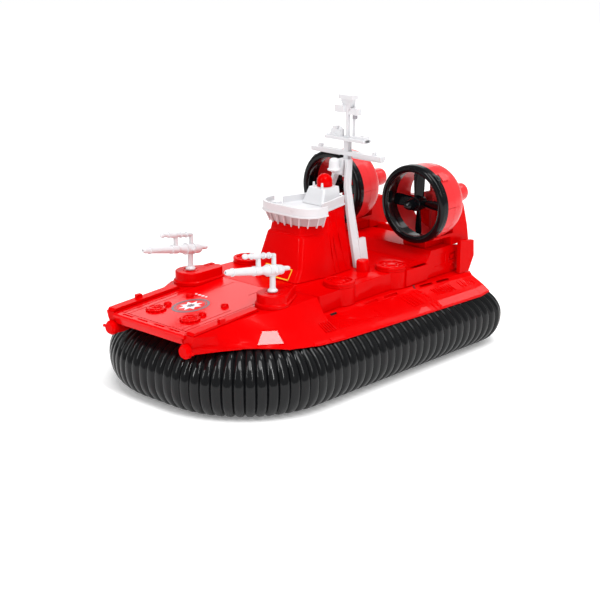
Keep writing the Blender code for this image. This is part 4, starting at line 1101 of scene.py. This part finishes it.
def make_stern():
    """Engine deck with square recesses and round marks, its sill, pylons and stern panels."""
    cutters = []
    for side in (1.0, -1.0):
        cutters.append(slab((-157.0, -147.0), (side * 70.8, side * 76.0), (82.0, 90.0)))
        cutters.append(slab((-142.0, -124.0), (side * 71.2, side * 76.0), (80.0, 92.0)))
    dress("engine_deck", RED, width=0.4, cutters=cutters)
    finish_piece("stern_sill", slab((-165.6, -161.0), (-43.0, 43.0), (80.0, 101.0)), RED, round_edges=0.6)
    for tail, side in BOTH:
        dress("pylon_" + tail, RED, width=0.6)
        dress("stern_panel_" + tail, RED, width=0.5)
        outline = [(-0.5, 3.8), (0.7, 3.8), (0.7, 2.6), (-0.5, 2.6)]
        mark = hoop(outline, (-152.0, side * 72.0, 76.0), (0.0, side, 0.0), 32)
        core = slab((-155.0, -149.0), (side * 71.0, side * 72.2), (84.0, 88.0))
        finish_piece("stern_marks_" + tail, together(mark, core), RED, round_edges=0.2)


make_foredeck()
for tail, side in BOTH:
    dress("gunwale_" + tail, RED)
    row("cleats_" + tail, (146.6, side * 53.8, 84.6), (151.4, side * 53.8, 84.3), 2, (1.6, 3.4, 2.4), RED)
    dress("bow_knuckle_" + tail, RED, width=0.6)
    make_mount(tail, side)
    make_cannon(tail, side)
    make_house(tail, side)
    make_ring(tail, side)
    make_duct(tail, side)
    make_propeller(tail, side)
dress("mid_deck", RED)
make_tower()
make_visor()
make_bridge()
dress("upper_cabin", WHITE, width=0.6, segments=3)
make_lights()
make_mast()
make_stern()


# Floor, light and camera

FLOOR_HALF = 9.0  # metres, as are all sizes below
FLOOR_GLOW = 0.19
SURROUND_STRENGTH = 0.38
AIM = Vector((0.0, 0.0, 0.08))
TARGET = Vector((0.0080, 0.0145, 0.0640))
AZIMUTH = math.radians(133.08)
ELEVATION = math.radians(17.03)
DISTANCE = 1.370
FOCAL_LENGTH = 86.76  # millimetres


def stage_floor():
    """Large pale floor, lit a little from within like a light table."""
    mesh = bpy.data.meshes.new("floor")
    corners = ((-1.0, -1.0), (1.0, -1.0), (1.0, 1.0), (-1.0, 1.0))
    mesh.from_pydata([(FLOOR_HALF * x, FLOOR_HALF * y, 0.0) for x, y in corners], [], [(0, 1, 2, 3)])
    finish = bpy.data.materials.new("pale_floor")
    finish.use_nodes = True
    feed(finish.node_tree, finish.node_tree.nodes["Principled BSDF"], [
        ("Base Color", (0.95, 0.95, 0.95, 1.0)), ("Roughness", 0.7), ("Emission Color", (1.0, 1.0, 1.0, 1.0)),
        ("Emission Strength", FLOOR_GLOW)])
    mesh.materials.append(finish)
    floor = placed("floor", mesh)


def light(name, kind, place, power, **settings):
    """Light aimed at the craft."""
    lamp = bpy.data.lights.new(name, kind)
    lamp.energy = power
    for key, value in settings.items():
        setattr(lamp, key, value)
    item = placed(name, lamp)
    item.location = place
    item.rotation_euler = (AIM - Vector(place)).to_track_quat("-Z", "Y").to_euler()


def stage_light():
    """Broad sun, two upright strips, boxes for the polished facets, a back wall and a white surround."""
    light("overhead", "SUN", (0.40, 0.62, 1.9), 1.7, angle=math.radians(30.0))
    light("port_strip", "AREA", (0.5, 1.5, 1.3), 13.0, shape="RECTANGLE", size=0.09, size_y=1.3)
    light("bow_strip", "AREA", (1.5, -0.3, 1.1), 8.0, shape="RECTANGLE", size=0.09, size_y=1.1)
    light("stern_box", "AREA", (-1.365, 0.18, 1.067), 1.5, size=0.4)
    light("top_box", "AREA", (-0.48, 0.31, 1.77), 4.0, size=0.35)
    light("back_wall", "AREA", (-1.7, -1.8, 1.1), 14.0, size=1.8)
    world = bpy.data.worlds.new("surround")
    world.use_nodes = True
    surround = world.node_tree.nodes["Background"]
    surround.inputs["Color"].default_value = (1.0, 1.0, 1.0, 1.0)
    surround.inputs["Strength"].default_value = SURROUND_STRENGTH
    bpy.context.scene.world = world
    bpy.context.scene.view_settings.view_transform = "Standard"


def stage_camera():
    """Camera at the photograph's angle."""
    lens = bpy.data.cameras.new("camera")
    lens.lens = FOCAL_LENGTH
    lens.sensor_width = 36.0
    lens.clip_start = 0.05
    item = placed("camera", lens)
    level = math.cos(ELEVATION)
    away = Vector((math.sin(AZIMUTH) * level, -math.cos(AZIMUTH) * level, math.sin(ELEVATION)))
    item.location = TARGET + away * DISTANCE
    item.rotation_euler = (-away).to_track_quat("-Z", "Y").to_euler()
    bpy.context.scene.camera = item


stage_floor()
stage_light()
stage_camera()
